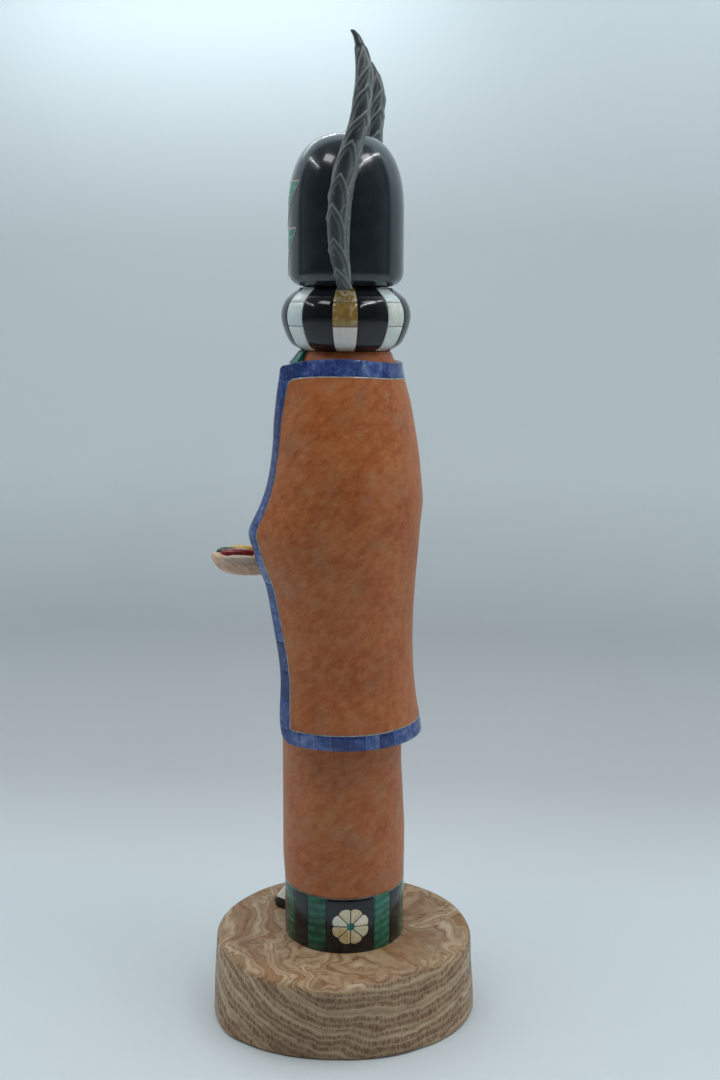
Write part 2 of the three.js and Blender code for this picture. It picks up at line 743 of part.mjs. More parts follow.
// Hem band: two wide panels with flowers, and striped tiles between them, then the wire on top
const bandInner = bandRadius - bandDepth;
const bandRing = hollowRing(bandInner, bandRadius, bandBottom, bandTop);
const bandGap = halfGapAngle(bandRadius);
const stripeSweep = (360 - 2 * panelSweep) / (2 * stripesPerSide);
const flowerLayer = hollowRing(bandRadius - flowerDepth, bandRadius, bandBottom, bandTop);
const flowerRoom = hollowRing(bandRadius - flowerDepth - fitGap, bandRadius + 1, bandBottom, bandTop);
for (const [half, side] of ['left', 'right'].entries()) {
  const turn = panelTurn + 180 * half;
  const start = turn - panelSweep / 2;
  const panelCut = sector(start + bandGap, start + panelSweep - bandGap, bandBottom, bandTop);
  const panel = bandRing.intersect(panelCut);
  addPiece(`hem_panel_${side}`, panel.subtract(flowerPocket(turn).intersect(flowerRoom)), 'jet');
  addPiece(`hem_flower_${side}`, flowerSolid(turn).intersect(flowerLayer), 'shell');
  for (let stripe = 0; stripe < stripesPerSide; stripe += 1) {
    const stone = stripe % 2 === 0 ? 'malachite' : 'jet';
    const from = start + panelSweep + stripe * stripeSweep;
    const tileCut = sector(from + bandGap, from + stripeSweep - bandGap, bandBottom, bandTop);
    const tile = bandRing.intersect(tileCut);
    addPiece(`hem_${stone}_${half * stripesPerSide + stripe + 1}`, tile, stone);
  }
}
const hemWire = hollowRing(bandInner, bandRadius + wireProud, wireBottom, wireBottom + wireThickness);
addPiece('hem_wire', hemWire, 'silver');

// Ruff: shell and jet tiles around the neck, with a bulging side
const ruffRows = [
  [0, 0], [0.13, 0.55], [0.5, 1], [0.77, 0.8], [1, 0.02],
];
const ruffProfile = [
  [ruffCoreRadius, ruffBottom],
  ...ruffRows.map(([rise, bulge]) => [
    THREE.MathUtils.lerp(ruffEndRadius, ruffRadius, bulge),
    ruffBottom + rise * ruffHeight,
  ]),
  [ruffCoreRadius, ruffTop],
  [ruffCoreRadius, ruffBottom],
];
const ruff = revolve(ruffProfile);
const ruffGap = halfGapAngle(ruffRadius);
const pairSweep = 360 / ruffPairs;
for (let pair = 0; pair < ruffPairs; pair += 1) {
  const shellStart = ruffTurn - ruffShellSweep / 2 + pair * pairSweep;
  const jetStart = shellStart + ruffShellSweep;
  const shellTile = sector(shellStart + ruffGap, jetStart - ruffGap, ruffBottom - 1, ruffTop + 1);
  const jetTile = sector(jetStart + ruffGap, shellStart + pairSweep - ruffGap, ruffBottom - 1, ruffTop + 1);
  addPiece(`ruff_shell_${pair + 1}`, ruff.intersect(shellTile), 'shell');
  addPiece(`ruff_jet_${pair + 1}`, ruff.intersect(jetTile), 'jet');
}

// Helmet and the two tiers of its face
const faceLayer = helmetBody.subtract(helmet(faceDepth));
const faceRoomLayer = helmetBody.subtract(helmet(faceDepth + fitGap));
const faceRoom = faceTiers(fitGap);
const face = faceTiers(0);
addPiece('head', helmetBody.subtract(faceRoomLayer.intersect(faceRoom.upper.add(faceRoom.lower))), 'jet');
addPiece('face_upper', faceLayer.intersect(face.upper), 'turquoise');
addPiece('face_lower', faceLayer.intersect(face.lower), 'turquoise');

// Wings
const helmetRoom = disc(headRadius + fitGap, headBottom - 1, headBottom + headHeight - domeHeight)
  .add(helmet(-fitGap));
addPiece('wing_left', wingPiece(1, helmetRoom), 'jet');
addPiece('wing_right', wingPiece(-1, helmetRoom), 'jet');

// Hands and what lies in them
addPiece('hand_left', handPiece(1), 'bandedShell');
addPiece('hand_right', handPiece(-1), 'bandedShell');
for (const row of earRows) {
  addPiece(row[0], earBody(row, 0), row[1]);
}

// Boot: a sole and an upper with a rounded toe, both cut to the round of the hem band
function bootOutline(shrink) {
  const half = (bootWidth / 2) * shrink;
  const toeLength = toeFullness * half;
  const toeStart = bandRadius + (bootLength * (1 + shrink)) / 2 - toeLength;
  const shape = new THREE.Shape();
  shape.moveTo(bandInner, -half);
  shape.lineTo(toeStart, -half);
  shape.absellipse(toeStart, 0, toeLength, half, -Math.PI / 2, Math.PI / 2);
  shape.lineTo(bandInner, half);
  return shape.getPoints(5);
}

function bootBlock(rows) {
  const rings = rows.map(([height, shrink]) => bootOutline(shrink).map(
    (point) => new THREE.Vector3(point.x, point.y, baseHeight + height),
  ));
  const turned = loft(rings).rotateZ(radians(bootTurn - 90));
  return toSolid(turned).subtract(disc(bandRadius + fitGap, baseHeight - 1, bandTop));
}
const soleTop = fitGap + soleThickness;
const upperBottom = soleTop + fitGap;
const upperRows = [[0, 0.9], [0.35, 0.92], [0.68, 0.8], [0.9, 0.58], [1, 0.34]].map(
  ([rise, shrink]) => [THREE.MathUtils.lerp(upperBottom, bootHeight, rise), shrink],
);
addPiece('boot_sole_right', bootBlock([[fitGap, 0.96], [soleTop, 1]]), 'jet');
addPiece('boot_right', bootBlock(upperRows), 'shell');

export default group;
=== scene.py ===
# %% [markdown]
# # An inlaid stone figure on a travertine base
#
# The object is a small carved figure: an orange pipestone dress and cape, a border of lapis, a hem band and a
# round collar of polished tiles, a black helmet with two feathered wings, and pale shell hands. It stands on a
# disc of banded travertine. The solid model gives every size and place. Here each stone gets its finer shape
# and its finish, so that the picture shows joints, feathers and grain as well as outlines.

# %% Load the solid model
import math
import bmesh
import bpy
import numpy as np
from mathutils import Matrix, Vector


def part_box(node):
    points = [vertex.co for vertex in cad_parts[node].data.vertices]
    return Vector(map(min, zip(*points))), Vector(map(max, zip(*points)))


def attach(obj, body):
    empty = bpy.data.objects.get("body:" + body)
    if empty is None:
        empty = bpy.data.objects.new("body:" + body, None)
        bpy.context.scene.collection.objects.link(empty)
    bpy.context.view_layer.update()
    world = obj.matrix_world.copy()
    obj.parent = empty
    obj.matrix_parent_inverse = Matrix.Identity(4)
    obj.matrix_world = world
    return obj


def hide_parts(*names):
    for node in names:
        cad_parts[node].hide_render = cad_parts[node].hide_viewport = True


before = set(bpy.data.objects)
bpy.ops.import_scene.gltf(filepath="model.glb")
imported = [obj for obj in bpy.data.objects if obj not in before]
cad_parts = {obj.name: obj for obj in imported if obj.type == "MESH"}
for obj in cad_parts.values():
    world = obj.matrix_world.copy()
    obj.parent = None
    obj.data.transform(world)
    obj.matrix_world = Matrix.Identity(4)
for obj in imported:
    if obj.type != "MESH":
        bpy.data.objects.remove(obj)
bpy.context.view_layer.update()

print("solid pieces:", len(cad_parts))

# %% [markdown]
# ## The camera
#
# A camera is placed before anything else, because every later choice is judged through it. The view is from the
# figure's left side, a little behind the shoulder and a little above. A lens of 46 mm on a 36 mm sensor, half a
# metre away, gives the same narrowing towards the base as a hand-held close picture does. The camera is aimed by
# turning it and not by shifting the lens, so that upright lines lean as they really do.

# %% Camera
view_azimuth = 95.5
view_distance = 0.5
view_height = 0.276
view_tilt = 10.43
view_aside = 0.62
view_roll = 0.28


def upright_camera(name, azimuth, distance, height, tilt, aside, roll, lens):
    """A camera on a circle round the Z axis: azimuth 0 looks along +Y and 90 looks along -X. It is tilted
    down, turned aside to its right and rolled about its own line of sight, all in degrees."""
    camera = bpy.data.objects.new(name, bpy.data.cameras.new(name))
    camera.data.lens = lens
    camera.data.sensor_width = 36
    camera.data.clip_start = 0.01
    around = math.radians(azimuth)
    place = Matrix.Translation((distance * math.sin(around), -distance * math.cos(around), height))
    turn = Matrix.Rotation(math.radians(azimuth - aside), 4, "Z")
    pitch = Matrix.Rotation(math.radians(90 - tilt), 4, "X")
    lean = Matrix.Rotation(math.radians(roll), 4, "Z")
    camera.matrix_world = place @ turn @ pitch @ lean
    bpy.context.scene.collection.objects.link(camera)
    bpy.context.scene.camera = camera
    return camera


camera = upright_camera(
    "camera", view_azimuth, view_distance, view_height, view_tilt, view_aside, view_roll, lens=46)
print("camera at", [round(v, 3) for v in camera.location])

# %% [markdown]
# ## Shapes from arrays
#
# Each piece is a grid of points worked out with numpy, in millimetres, because the object is small and its sizes
# read best that way. A grid's neighbouring points make four-cornered faces. Two grids whose borders coincide are
# welded where their points meet, which is how a tile gets its face, its walls and its underside as one closed
# solid. After the weld the faces are turned outwards.

# %% From grids to a closed mesh
millimetre = 0.001
weld_distance = 0.000002


def node_box(*nodes):
    """The lowest and highest corner of some solid pieces together, in millimetres."""
    corners = np.array([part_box(node) for node in nodes]) / millimetre
    return corners[:, 0].min(axis=0), corners[:, 1].max(axis=0)


def grid_faces(rows, columns):
    """Faces between neighbouring points of a grid, where point (r, c) has the number r * columns + c."""
    row, column = np.meshgrid(np.arange(rows - 1), np.arange(columns - 1), indexing="ij")
    corner = (row * columns + column).ravel()
    return np.stack([corner, corner + 1, corner + columns + 1, corner + columns], axis=1)


def join_grids(grids):
    """Points and faces of several grids as one list each. A grid is an array of rows x columns x 3."""
    points, faces, first = [], [], 0
    for grid in grids:
        rows, columns = grid.shape[:2]
        points.append(grid.reshape(-1, 3))
        faces.append(grid_faces(rows, columns) + first)
        first += rows * columns
    return np.concatenate(points), np.concatenate(faces)


def weld(mesh, smooth_angle):
    """Merges points that coincide, turns the faces outwards and shades them smooth up to an angle."""
    shape = bmesh.new()
    shape.from_mesh(mesh)
    bmesh.ops.remove_doubles(shape, verts=shape.verts, dist=weld_distance)
    bmesh.ops.recalc_face_normals(shape, faces=shape.faces)
    shape.to_mesh(mesh)
    shape.free()
    mesh.shade_smooth()
    mesh.set_sharp_from_angle(angle=math.radians(smooth_angle))


def make_piece(name, solids, nodes, slot, finish, smooth_angle=38):
    """One object from a list of solids, each a pair (grids, tone). The tone is a number from 0 to 1 that stays
    with the solid's points, so that neighbouring tiles of one stone can differ. The piece stands for the
    named solid pieces of the model and rides on its one body."""
    grids = [grid for solid, _ in solids for grid in solid]
    tones = [np.broadcast_to(tone, grid.shape[:2]).ravel() for solid, tone in solids for grid in solid]
    points, faces = join_grids(grids)
    mesh = bpy.data.meshes.new(name)
    mesh.from_pydata((points * millimetre).tolist(), [], faces.tolist())
    tone = mesh.attributes.new("tone", "FLOAT", "POINT")
    tone.data.foreach_set("value", np.concatenate(tones).astype(np.float32))
    weld(mesh, smooth_angle)
    mesh.materials.append(finish)
    piece = bpy.data.objects.new(name, mesh)
    bpy.context.scene.collection.objects.link(piece)
    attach(piece, "root")
    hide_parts(*nodes)
    print(name, "has", len(mesh.polygons), "faces")
    return piece


# %% [markdown]
# ### Curves, rings and tiles
#
# Four helpers make almost every solid. A smooth curve runs through a few chosen rows. A loft closes a stack of
# rings with a point at each end. A tile is laid into any curved surface, with a rim that rolls over by a tenth of
# a millimetre, because a polished joint shows only as a fine dark line. A wire is a thin tube round a closed path.

# %% Curves, rings and tiles


def through(rows, column=1):
    """A smooth curve through rows of (place, value, ...): between two rows it is a cubic whose slope at each
    row is that of the line between the row's neighbours."""
    table = np.array(rows, dtype=float)
    place, value = table[:, 0], table[:, column]
    before = np.maximum(np.arange(len(place)) - 1, 0)
    after = np.minimum(np.arange(len(place)) + 1, len(place) - 1)
    slope = (value[after] - value[before]) / (place[after] - place[before])

    def curve(at):
        at = np.clip(at, place[0], place[-1])
        high = np.clip(np.searchsorted(place, at), 1, len(place) - 1)
        low = high - 1
        span = place[high] - place[low]
        t = (at - place[low]) / span
        rise = value[high] - value[low]
        low_pull = slope[low] * span - rise
        high_pull = rise - slope[high] * span
        return value[low] + rise * t + t * (1 - t) * (low_pull * (1 - t) + high_pull * t)

    return curve


def points_of(x, y, z):
    """Stacks three arrays of any matching shapes into one array of points."""
    return np.stack(np.broadcast_arrays(x, y, z), axis=-1).astype(float)


def round_z(angle, radius, height):
    """Points round the Z axis, with the angle measured from the front towards the figure's left:
    x = r sin a, y = -r cos a."""
    return points_of(radius * np.sin(angle), -radius * np.cos(angle), height)


def full_turn(steps):
    """Angles once round, with the first repeated at the end so that the seam closes."""
    return np.linspace(0, 2 * np.pi, steps + 1)


def capped(rings):
    """Closes a stack of rings with its middle point at either end."""
    low = np.broadcast_to(rings[0, :-1].mean(axis=0), rings[0].shape)
    high = np.broadcast_to(rings[-1, :-1].mean(axis=0), rings[-1].shape)
    return np.concatenate([low[None], rings, high[None]])


def revolved(profile, steps):
    """A round solid about the Z axis from rows of (radius, height)."""
    radius, height = np.array(profile, dtype=float).T
    angle = full_turn(steps)
    return [capped(round_z(angle, radius[:, None], height[:, None]))]


def shares_with_rim(length, rim, steps):
    """Shares 0 to 1 with a narrow first and last step for the rim, and how far each lies over the edge."""
    narrow = min(rim / max(length, rim), 0.2)
    inner = np.linspace(narrow, 1 - narrow, steps + 1)
    shares = np.concatenate([[0, 0, narrow / 3], inner, [1 - narrow / 3, 1, 1]])
    over = np.concatenate([[2, 1, 0.35], np.zeros(steps + 1), [0.35, 1, 2]])
    return shares, over


def tile(surface, left, right, low, high, depth, across=6, up=6, rim=0.16, proud=0.0):
    """A tile in a curved surface. surface(a, b, inset) gives the point at the place (a, b), so far under the
    surface. The tile runs from left(b) to right(b) and from low to high. Its rim rolls over by rim
    millimetres, and its walls go down to depth."""
    left_at = left if callable(left) else (lambda b: np.full_like(b, left))
    right_at = right if callable(right) else (lambda b: np.full_like(b, right))
    middle = np.array([(low + high) / 2])
    ends = [surface(edge(middle), middle, np.zeros(1))[0] for edge in (left_at, right_at)]
    centre = (left_at(middle) + right_at(middle)) / 2
    tips = [surface(centre, np.array([float(b)]), np.zeros(1))[0] for b in (low, high)]
    u, over_u = shares_with_rim(np.linalg.norm(ends[1] - ends[0]), rim, across)
    v, over_v = shares_with_rim(np.linalg.norm(tips[1] - tips[0]), rim, up)
    b = (low + (high - low) * v)[:, None] * np.ones_like(u)
    a = left_at(b) + (right_at(b) - left_at(b)) * u
    over = np.maximum(over_v[:, None], over_u[None, :])
    inset = np.where(over > 1, depth, over * rim - proud)
    return [surface(a, b, inset), surface(a, b, np.full_like(a, depth))]


def closed_wire(path, outward, radius, sides=8):
    """A thin tube round a closed path: at each point a ring across the path's direction."""
    ahead = np.roll(path, -1, axis=0) - np.roll(path, 1, axis=0)
    ahead /= np.linalg.norm(ahead, axis=1, keepdims=True)
    sideways = np.cross(ahead, outward)
    sideways /= np.linalg.norm(sideways, axis=1, keepdims=True)
    lift = np.cross(sideways, ahead)
    angle = full_turn(sides)
    ring = (np.cos(angle)[:, None] * lift[:, None, :] + np.sin(angle)[:, None] * sideways[:, None, :]) * radius
    rings = path[:, None, :] + ring
    return [np.concatenate([rings, rings[:1]])]


seed = np.random.default_rng(7)

# %% [markdown]
# ## Finishes as expressions
#
# A stone is built up from sums and products of noises. To keep such sums readable, a small class wraps a socket
# and turns +, - and * into Math nodes. Every other node comes from one method that takes its type, then its
# settings, then its inputs. All patterns read Object coordinates, which a Mapping node gives in millimetres. It
# turns the axes first and stretches along the turned ones, so that scratches and bands can run at a slant.

# %% The finish class


def linear(red, green, blue):
    """A colour as the eye reads it, 0 to 255, as the linear colour that a shader wants."""
    share = np.array([red, green, blue]) / 255
    curved = np.where(share <= 0.04045, share / 12.92, ((share + 0.055) / 1.055) ** 2.4)
    return (*[float(v) for v in curved], 1.0)


class Value:
    """A socket that changes over the surface, with the signs of arithmetic."""

    def __init__(self, finish, socket):
        self.finish = finish
        self.socket = socket

    def combine(self, operation, first, second):
        return self.finish.node("ShaderNodeMath", {"operation": operation}, {0: first, 1: second})

    def __add__(self, other):
        return self.combine("ADD", self, other)

    def __radd__(self, other):
        return self.combine("ADD", other, self)

    def __sub__(self, other):
        return self.combine("SUBTRACT", self, other)

    def __rsub__(self, other):
        return self.combine("SUBTRACT", other, self)

    def __mul__(self, other):
        return self.combine("MULTIPLY", self, other)

    def __rmul__(self, other):
        return self.combine("MULTIPLY", other, self)

    def folded(self):
        """The distance from the nearest whole number: 0 there and 0.5 midway."""
        return self.finish.node("ShaderNodeMath", {"operation": "PINGPONG"}, {0: self, 1: 0.5})


print("arithmetic on sockets: +, - and *")

# %% [markdown]
# ### One material, one shader
#
# A finish owns a material with its one shader. Constants go straight to the shader's sockets. What changes over
# the surface is an expression, and paint links it to the shader at the end.

# %% The material


class Finish:
    """A material with one Principled shader. Constants are set on the shader's own sockets."""

    def __init__(self, name, **constants):
        self.material = bpy.data.materials.new(name)
        self.material.use_nodes = True
        self.tree = self.material.node_tree
        self.shader = next(node for node in self.tree.nodes if node.type == "BSDF_PRINCIPLED")
        for socket, value in constants.items():
            self.shader.inputs[socket.replace("_", " ").title().replace("Ior", "IOR")].default_value = value
        self.place = self.mapped()

    def node(self, kind, settings=None, inputs=None, output=0):
        """Any node: its type, then its settings or a ramp's stops, then the values or links of its sockets."""
        made = self.tree.nodes.new(kind)
        for setting, value in (settings or {}).items():
            if setting == "stops":
                self.set_stops(made.color_ramp, value)
            else:
                setattr(made, setting, value)
        for socket, value in (inputs or {}).items():
            if isinstance(value, Value):
                self.tree.links.new(value.socket, made.inputs[socket])
            else:
                made.inputs[socket].default_value = value
        return Value(self, made.outputs[output])

    def set_stops(self, ramp, stops):
        while len(ramp.elements) < len(stops):
            ramp.elements.new(1.0)
        for element, (position, colour) in zip(ramp.elements, stops):
            element.position = position
            element.color = colour

    def mapped(self, turn=(0, 0, 0), stretch=(1, 1, 1)):
        """Object coordinates in millimetres along axes turned in degrees, then stretched per turned axis."""
        coordinates = self.node("ShaderNodeTexCoord", output="Object")
        return self.node("ShaderNodeMapping", {"vector_type": "TEXTURE"}, {
            "Vector": coordinates,
            "Rotation": [math.radians(v) for v in turn],
            "Scale": [millimetre / s for s in stretch],
        })

    def noise(self, size, detail=3.0, roughness=0.55, distortion=0.0, at=None):
        """Soft random patches about size millimetres across, as a value of about 0.2 to 0.8."""
        return self.node("ShaderNodeTexNoise", {"noise_dimensions": "3D"}, {
            "Vector": at or self.place, "Scale": 1 / size, "Detail": detail,
            "Roughness": roughness, "Distortion": distortion,
        })

    def cells(self, size, feature="F1"):
        """The distance from the middle of a cell, or from its edge, in random cells of size millimetres."""
        place = {"Vector": self.place, "Scale": 1 / size}
        return self.node("ShaderNodeTexVoronoi", {"feature": feature}, place, output="Distance")

    def bands(self, size, distortion, at):
        """Parallel bands across Z of a period of size millimetres, bent by noise."""
        settings = {"wave_type": "BANDS", "bands_direction": "Z", "wave_profile": "SIN"}
        return self.node("ShaderNodeTexWave", settings, {
            "Vector": at, "Scale": 2 * math.pi / (20 * size), "Distortion": distortion, "Detail": 3.0,
            "Detail Scale": 1.0,
        })

    def tone(self):
        """The tone that each tile carries."""
        return self.node("ShaderNodeAttribute", {"attribute_name": "tone"}, output="Fac")

    def step(self, value, low, high):
        """0 below low, 1 above high and a smooth rise between."""
        return self.node("ShaderNodeMapRange", {"interpolation_type": "SMOOTHSTEP"}, {
            "Value": value, "From Min": low, "From Max": high, "To Min": 0.0, "To Max": 1.0,
        })

    def ramp(self, value, *stops):
        """A colour for each value: stops are (position, (red, green, blue)) in the eye's 0 to 255."""
        rows = [(position, linear(*colour)) for position, colour in stops]
        return self.node("ShaderNodeValToRGB", {"stops": rows}, {"Fac": value})

    def mix(self, factor, first, second):
        """Between two colours: links, or (red, green, blue) in the eye's 0 to 255."""
        first, second = [c if isinstance(c, Value) else linear(*c) for c in (first, second)]
        settings = {"data_type": "RGBA", "clamp_factor": True}
        return self.node("ShaderNodeMix", settings, {0: factor, 6: first, 7: second}, output=2)

    def paint(self, colour=None, roughness=None, height=None, bump=0.1):
        """Links the changing values to the shader. The height, in millimetres, becomes a bump."""
        links = {"Base Color": colour, "Roughness": roughness}
        if height is not None:
            links["Normal"] = self.node("ShaderNodeBump", None, {
                "Strength": bump, "Distance": millimetre, "Height": height}, output="Normal")
        for socket, value in links.items():
            if value is not None:
                self.tree.links.new(value.socket, self.shader.inputs[socket])
        return self.material

    def clear_behind(self):
        """Seen from behind, the surface is clear."""
        behind = self.node("ShaderNodeNewGeometry", output="Backfacing")
        shown = self.node("ShaderNodeMixShader", None, {
            0: behind, 1: Value(self, self.shader.outputs[0]), 2: self.node("ShaderNodeBsdfTransparent")})
        end = next(node for node in self.tree.nodes if node.type == "OUTPUT_MATERIAL")
        self.tree.links.new(shown.socket, end.inputs["Surface"])
        return self.material


# %% [markdown]
# ## The base
#
# The real base is a slab of banded travertine, cut by hand. Round the side the layers show as wavy pale and
# brown bands full of short upright fibres, and on the top they open into swirls and lens shapes. Its outline is
# not a true circle, so the distance of its top edge and of its foot are curves over the angle. The pattern could
# be painted, but layers are simply height bent by noise, so the same field gives both the bands on the side and
# the swirls on the top.

# %% Base
base_height = node_box("base")[1][2]
base_radius = 49.9
base_rounding = 3.2
foot_rounding = 1.6
# Each row: angle from the front in degrees, then the top edge's and the foot's distance as shares of the radius
base_rows = [
    (0, 0.994, 1.014), (35, 0.978, 1.014), (47, 0.974, 0.974), (66, 0.975, 0.91), (90, 0.978, 0.862),
    (105, 0.92, 0.866), (120, 0.876, 0.886), (133, 0.87, 0.904), (144, 0.91, 0.938), (158, 0.966, 0.97),
    (180, 0.98, 1.014), (220, 0.992, 1.004), (270, 0.978, 0.978), (320, 0.99, 1.002), (360, 0.994, 1.014),
]
# The layers' common centre in millimetres, and how far apart its pale layers and thin layers lie
bowl_centre = (0.0, 18.0, 84.0)
layer_period = 9.0
thin_period = 2.7
top_edge_at, foot_edge_at = through(base_rows, 1), through(base_rows, 2)


def base_grid(steps=200, rounds=9, walls=14, inner=10):
    """A rounded foot, a wall from the foot's edge to the top's edge, a rounded shoulder and a level top. Every
    ring is an edge curve moved inwards: r(a) = edge(a) - inward."""
    angle = full_turn(steps)
    degrees = np.degrees(angle)
    top_edge, foot_edge = top_edge_at(degrees) * base_radius, foot_edge_at(degrees) * base_radius
    turn = np.linspace(0, np.pi / 2, rounds)[:, None]
    foot = foot_edge - foot_rounding * (1 - np.sin(turn))
    foot_height = foot_rounding * (1 - np.cos(turn))
    shoulder = top_edge - base_rounding * (1 - np.cos(turn))
    shoulder_height = base_height - base_rounding * (1 - np.sin(turn))
    rise = np.linspace(0, 1, walls)[1:-1, None]
    wall = foot[-1] + (shoulder[0] - foot[-1]) * rise
    wall_height = foot_height[-1] + (shoulder_height[0] - foot_height[-1]) * rise
    across = np.linspace(1, 0, inner)[1:-1, None]
    radius = np.concatenate([foot, wall, shoulder, shoulder[-1] * across])
    height = np.concatenate([foot_height, wall_height, shoulder_height, np.full_like(across, base_height)])
    ripple = 0.1 * (1 - np.cos(11 * angle + 0.3 * height)) * (radius / base_radius) ** 4
    radius = radius - ripple
    return [capped(round_z(angle, radius, height))]


def travertine():
    """Layers shaped like nested bowls, as shells round a point above the base, bent by noise, twice as far on
    the top. Thin pale layers part brown ones, which are full of short upright fibres on the side. On the top they
    open into golden lenses between thin reddish lines, which follow the layers' own borders."""
    finish = Finish("travertine", specular_ior_level=0.35)
    swirl = finish.noise(22, detail=3.0, roughness=0.5, distortion=0.6)
    wave = finish.noise(5, detail=4.0, roughness=0.62, at=finish.mapped(stretch=(0.5, 0.5, 1.3)))
    fine = finish.noise(1.2, detail=3.0, roughness=0.6)
    fibres = finish.noise(0.85, detail=2.0, at=finish.mapped(stretch=(1.0, 1.0, 0.3)))
    depth = finish.node("ShaderNodeVectorMath", {"operation": "DISTANCE"}, {
        0: finish.mapped(stretch=(0.35, 1.0, 1.0)), 1: bowl_centre}, output="Value")
    height = finish.node("ShaderNodeSeparateXYZ", None, {0: finish.place}, output=2)
    level = finish.step(height, base_height - 2.5, base_height - 0.5)
    layer = depth + (swirl - 0.5) * (level * 18 + 9) + (wave - 0.5) * 3
    band = (layer * (1 / layer_period)).folded() * 2
    thin = (layer * (1 / thin_period)).folded() * 2
    grain = band * 0.18 + thin * 0.2 + wave * 0.34 + fine * 0.34
    stone = finish.ramp(
        grain, (0.25, (122, 92, 66)), (0.42, (146, 116, 86)), (0.56, (168, 141, 110)),
        (0.7, (188, 165, 134)), (0.86, (204, 186, 156)))
    lens = (1 - finish.step(band, 0.25, 0.6)) * level * finish.step(swirl, 0.42, 0.58)
    stone = finish.mix(lens * 0.6, stone, (150, 104, 58))
    edge = (layer * (1 / thin_period) + (fine - 0.5) * 0.3).folded()
    veins = (1 - finish.step(edge, 0.03, 0.1)) * level * finish.step(wave, 0.47, 0.6)
    stone = finish.mix(veins * 0.7, stone, (112, 60, 38))
    cloud = finish.step(finish.noise(16, detail=4.0), 0.5, 0.64)
    stone = finish.mix(cloud * 0.35, stone, (112, 78, 56))
    pale = finish.step(thin, 0.66, 0.86) * 0.8 + finish.step(band, 0.62, 0.9) * 0.7
    streaks = finish.step(fibres, 0.46, 0.6) * (1 - finish.step(pale, 0.1, 0.9)) * (1 - level * 0.7)
    stone = finish.mix(streaks * 0.62, stone, (98, 67, 49))
    stone = finish.mix(finish.step(fine, 0.54, 0.68) * 0.35, stone, (108, 76, 54))
    rough = 0.36 + streaks * 0.2 + fine * 0.1
    return finish.paint(stone, rough, fine * 0.1 + fibres * 0.1 - veins * 0.05, bump=0.35)


make_piece("travertine_base", [(base_grid(), 0.5)], ["base"], "travertine", travertine())

# %% [markdown]
# ## Cape and dress
#
# Both are one block of orange pipestone. The cape's outline from the side is what gives the figure its stance, so
# its half-width, its depth to the back and the place of its front edge are curves over the height, the same ones
# as in the solid model. The real cape is a thick shell of stone that meets the dress along its front edges. Here
# it is a closed loft whose inner side lies hidden inside the dress. The field inside the border is laid on as its
# own patch, because the border's tiles sit in a shallow step round it.

# %% The cape's form
wire_low, wire_high = node_box("hem_wire")
hem_low, hem_high = node_box("cape_border_hem_left")
neck_high = node_box("cape_border_neck_left")[1]
ruff_low, ruff_high = node_box("ruff_shell_1", "ruff_jet_1")
head_low, head_high = node_box("head")
band_radius = 22.8
cape_bottom = hem_low[2]
cape_top = neck_high[2]
cape_height = cape_top - cape_bottom
cape_hem_radius = 29.1
border_width = hem_high[2] - hem_low[2]
border_depth = 1.6
wire_width = wire_high[2] - wire_low[2]
neck_top = ruff_low[2]

# Each row: a share of the cape's height, then the half-width as a share of the hem's radius
side_rows = [
    (0, 1), (0.131, 0.973), (0.287, 0.976), (0.433, 1.014), (0.531, 1.048), (0.628, 1.058),
    (0.726, 1.03), (0.823, 0.948), (0.892, 0.86), (0.97, 0.749), (1, 0.705),
]
# The same for the depth to the back
back_rows = [
    (0, 0.993), (0.131, 0.897), (0.262, 0.866), (0.384, 0.883), (0.511, 0.928), (0.58, 0.952), (0.631, 0.973),
    (0.704, 0.945), (0.765, 0.914), (0.826, 0.866), (0.893, 0.808), (0.97, 0.718), (1, 0.7),
]
# The same for the front edge's place across and its reach to the front
edge_rows = [
    (0, 0.77, 0.634), (0.012, 0.73, 0.7), (0.027, 0.7, 0.733), (0.069, 0.67, 0.756), (0.163, 0.62, 0.749),
    (0.228, 0.59, 0.777), (0.3, 0.56, 0.838), (0.358, 0.54, 0.887), (0.417, 0.52, 0.945),
    (0.47, 0.505, 1.048), (0.51, 0.5, 1.103), (0.546, 0.495, 1.153), (0.568, 0.49, 1.144),
    (0.619, 0.48, 1.031), (0.669, 0.47, 0.945), (0.727, 0.462, 0.887), (0.792, 0.455, 0.852),
    (0.85, 0.45, 0.838), (0.929, 0.44, 0.8), (0.97, 0.435, 0.773), (1, 0.43, 0.76),
]
front_drop, back_drop, shoulder_rise = 1.8, 1.0, 1.3
shoulder_angle, shoulder_spread = math.radians(92), 0.75
front_corner, corner_spread = math.radians(38), 0.34
corner_radius = 1.7
neckline_reach = 40
neckline_start = cape_top - neckline_reach
side_at = through(side_rows)
back_at = through(back_rows)
opening_at = through(edge_rows, 1)
reach_at = through(edge_rows, 2)


def cape_form(height):
    """Half-width, depth to the front and to the back, and the front edge's angle, at a height."""
    share = (height - cape_bottom) / cape_height
    side = side_at(share) * cape_hem_radius
    across = opening_at(share) * cape_hem_radius
    front = reach_at(share) * cape_hem_radius / np.sqrt(1 - (across / side) ** 2)
    return side, front, back_at(share) * cape_hem_radius, np.arcsin(across / side)


def neckline(angle, height):
    """How far the cape's top lies under the solid's level one: it falls at the front corners and the back and
    rises over the shoulders, fading out downwards."""
    turned = np.abs((angle + np.pi) % (2 * np.pi) - np.pi)
    front = front_drop * np.exp(-((turned - front_corner) / corner_spread) ** 2)
    back = back_drop * (1 - np.cos(np.clip(turned - np.pi / 2, 0, None))) ** 0.8
    fade = np.clip((height - neckline_start) / neckline_reach, 0, 1)
    rise = shoulder_rise * np.exp(-((turned - shoulder_angle) / shoulder_spread) ** 2)
    return (front + back - rise) * fade ** 2


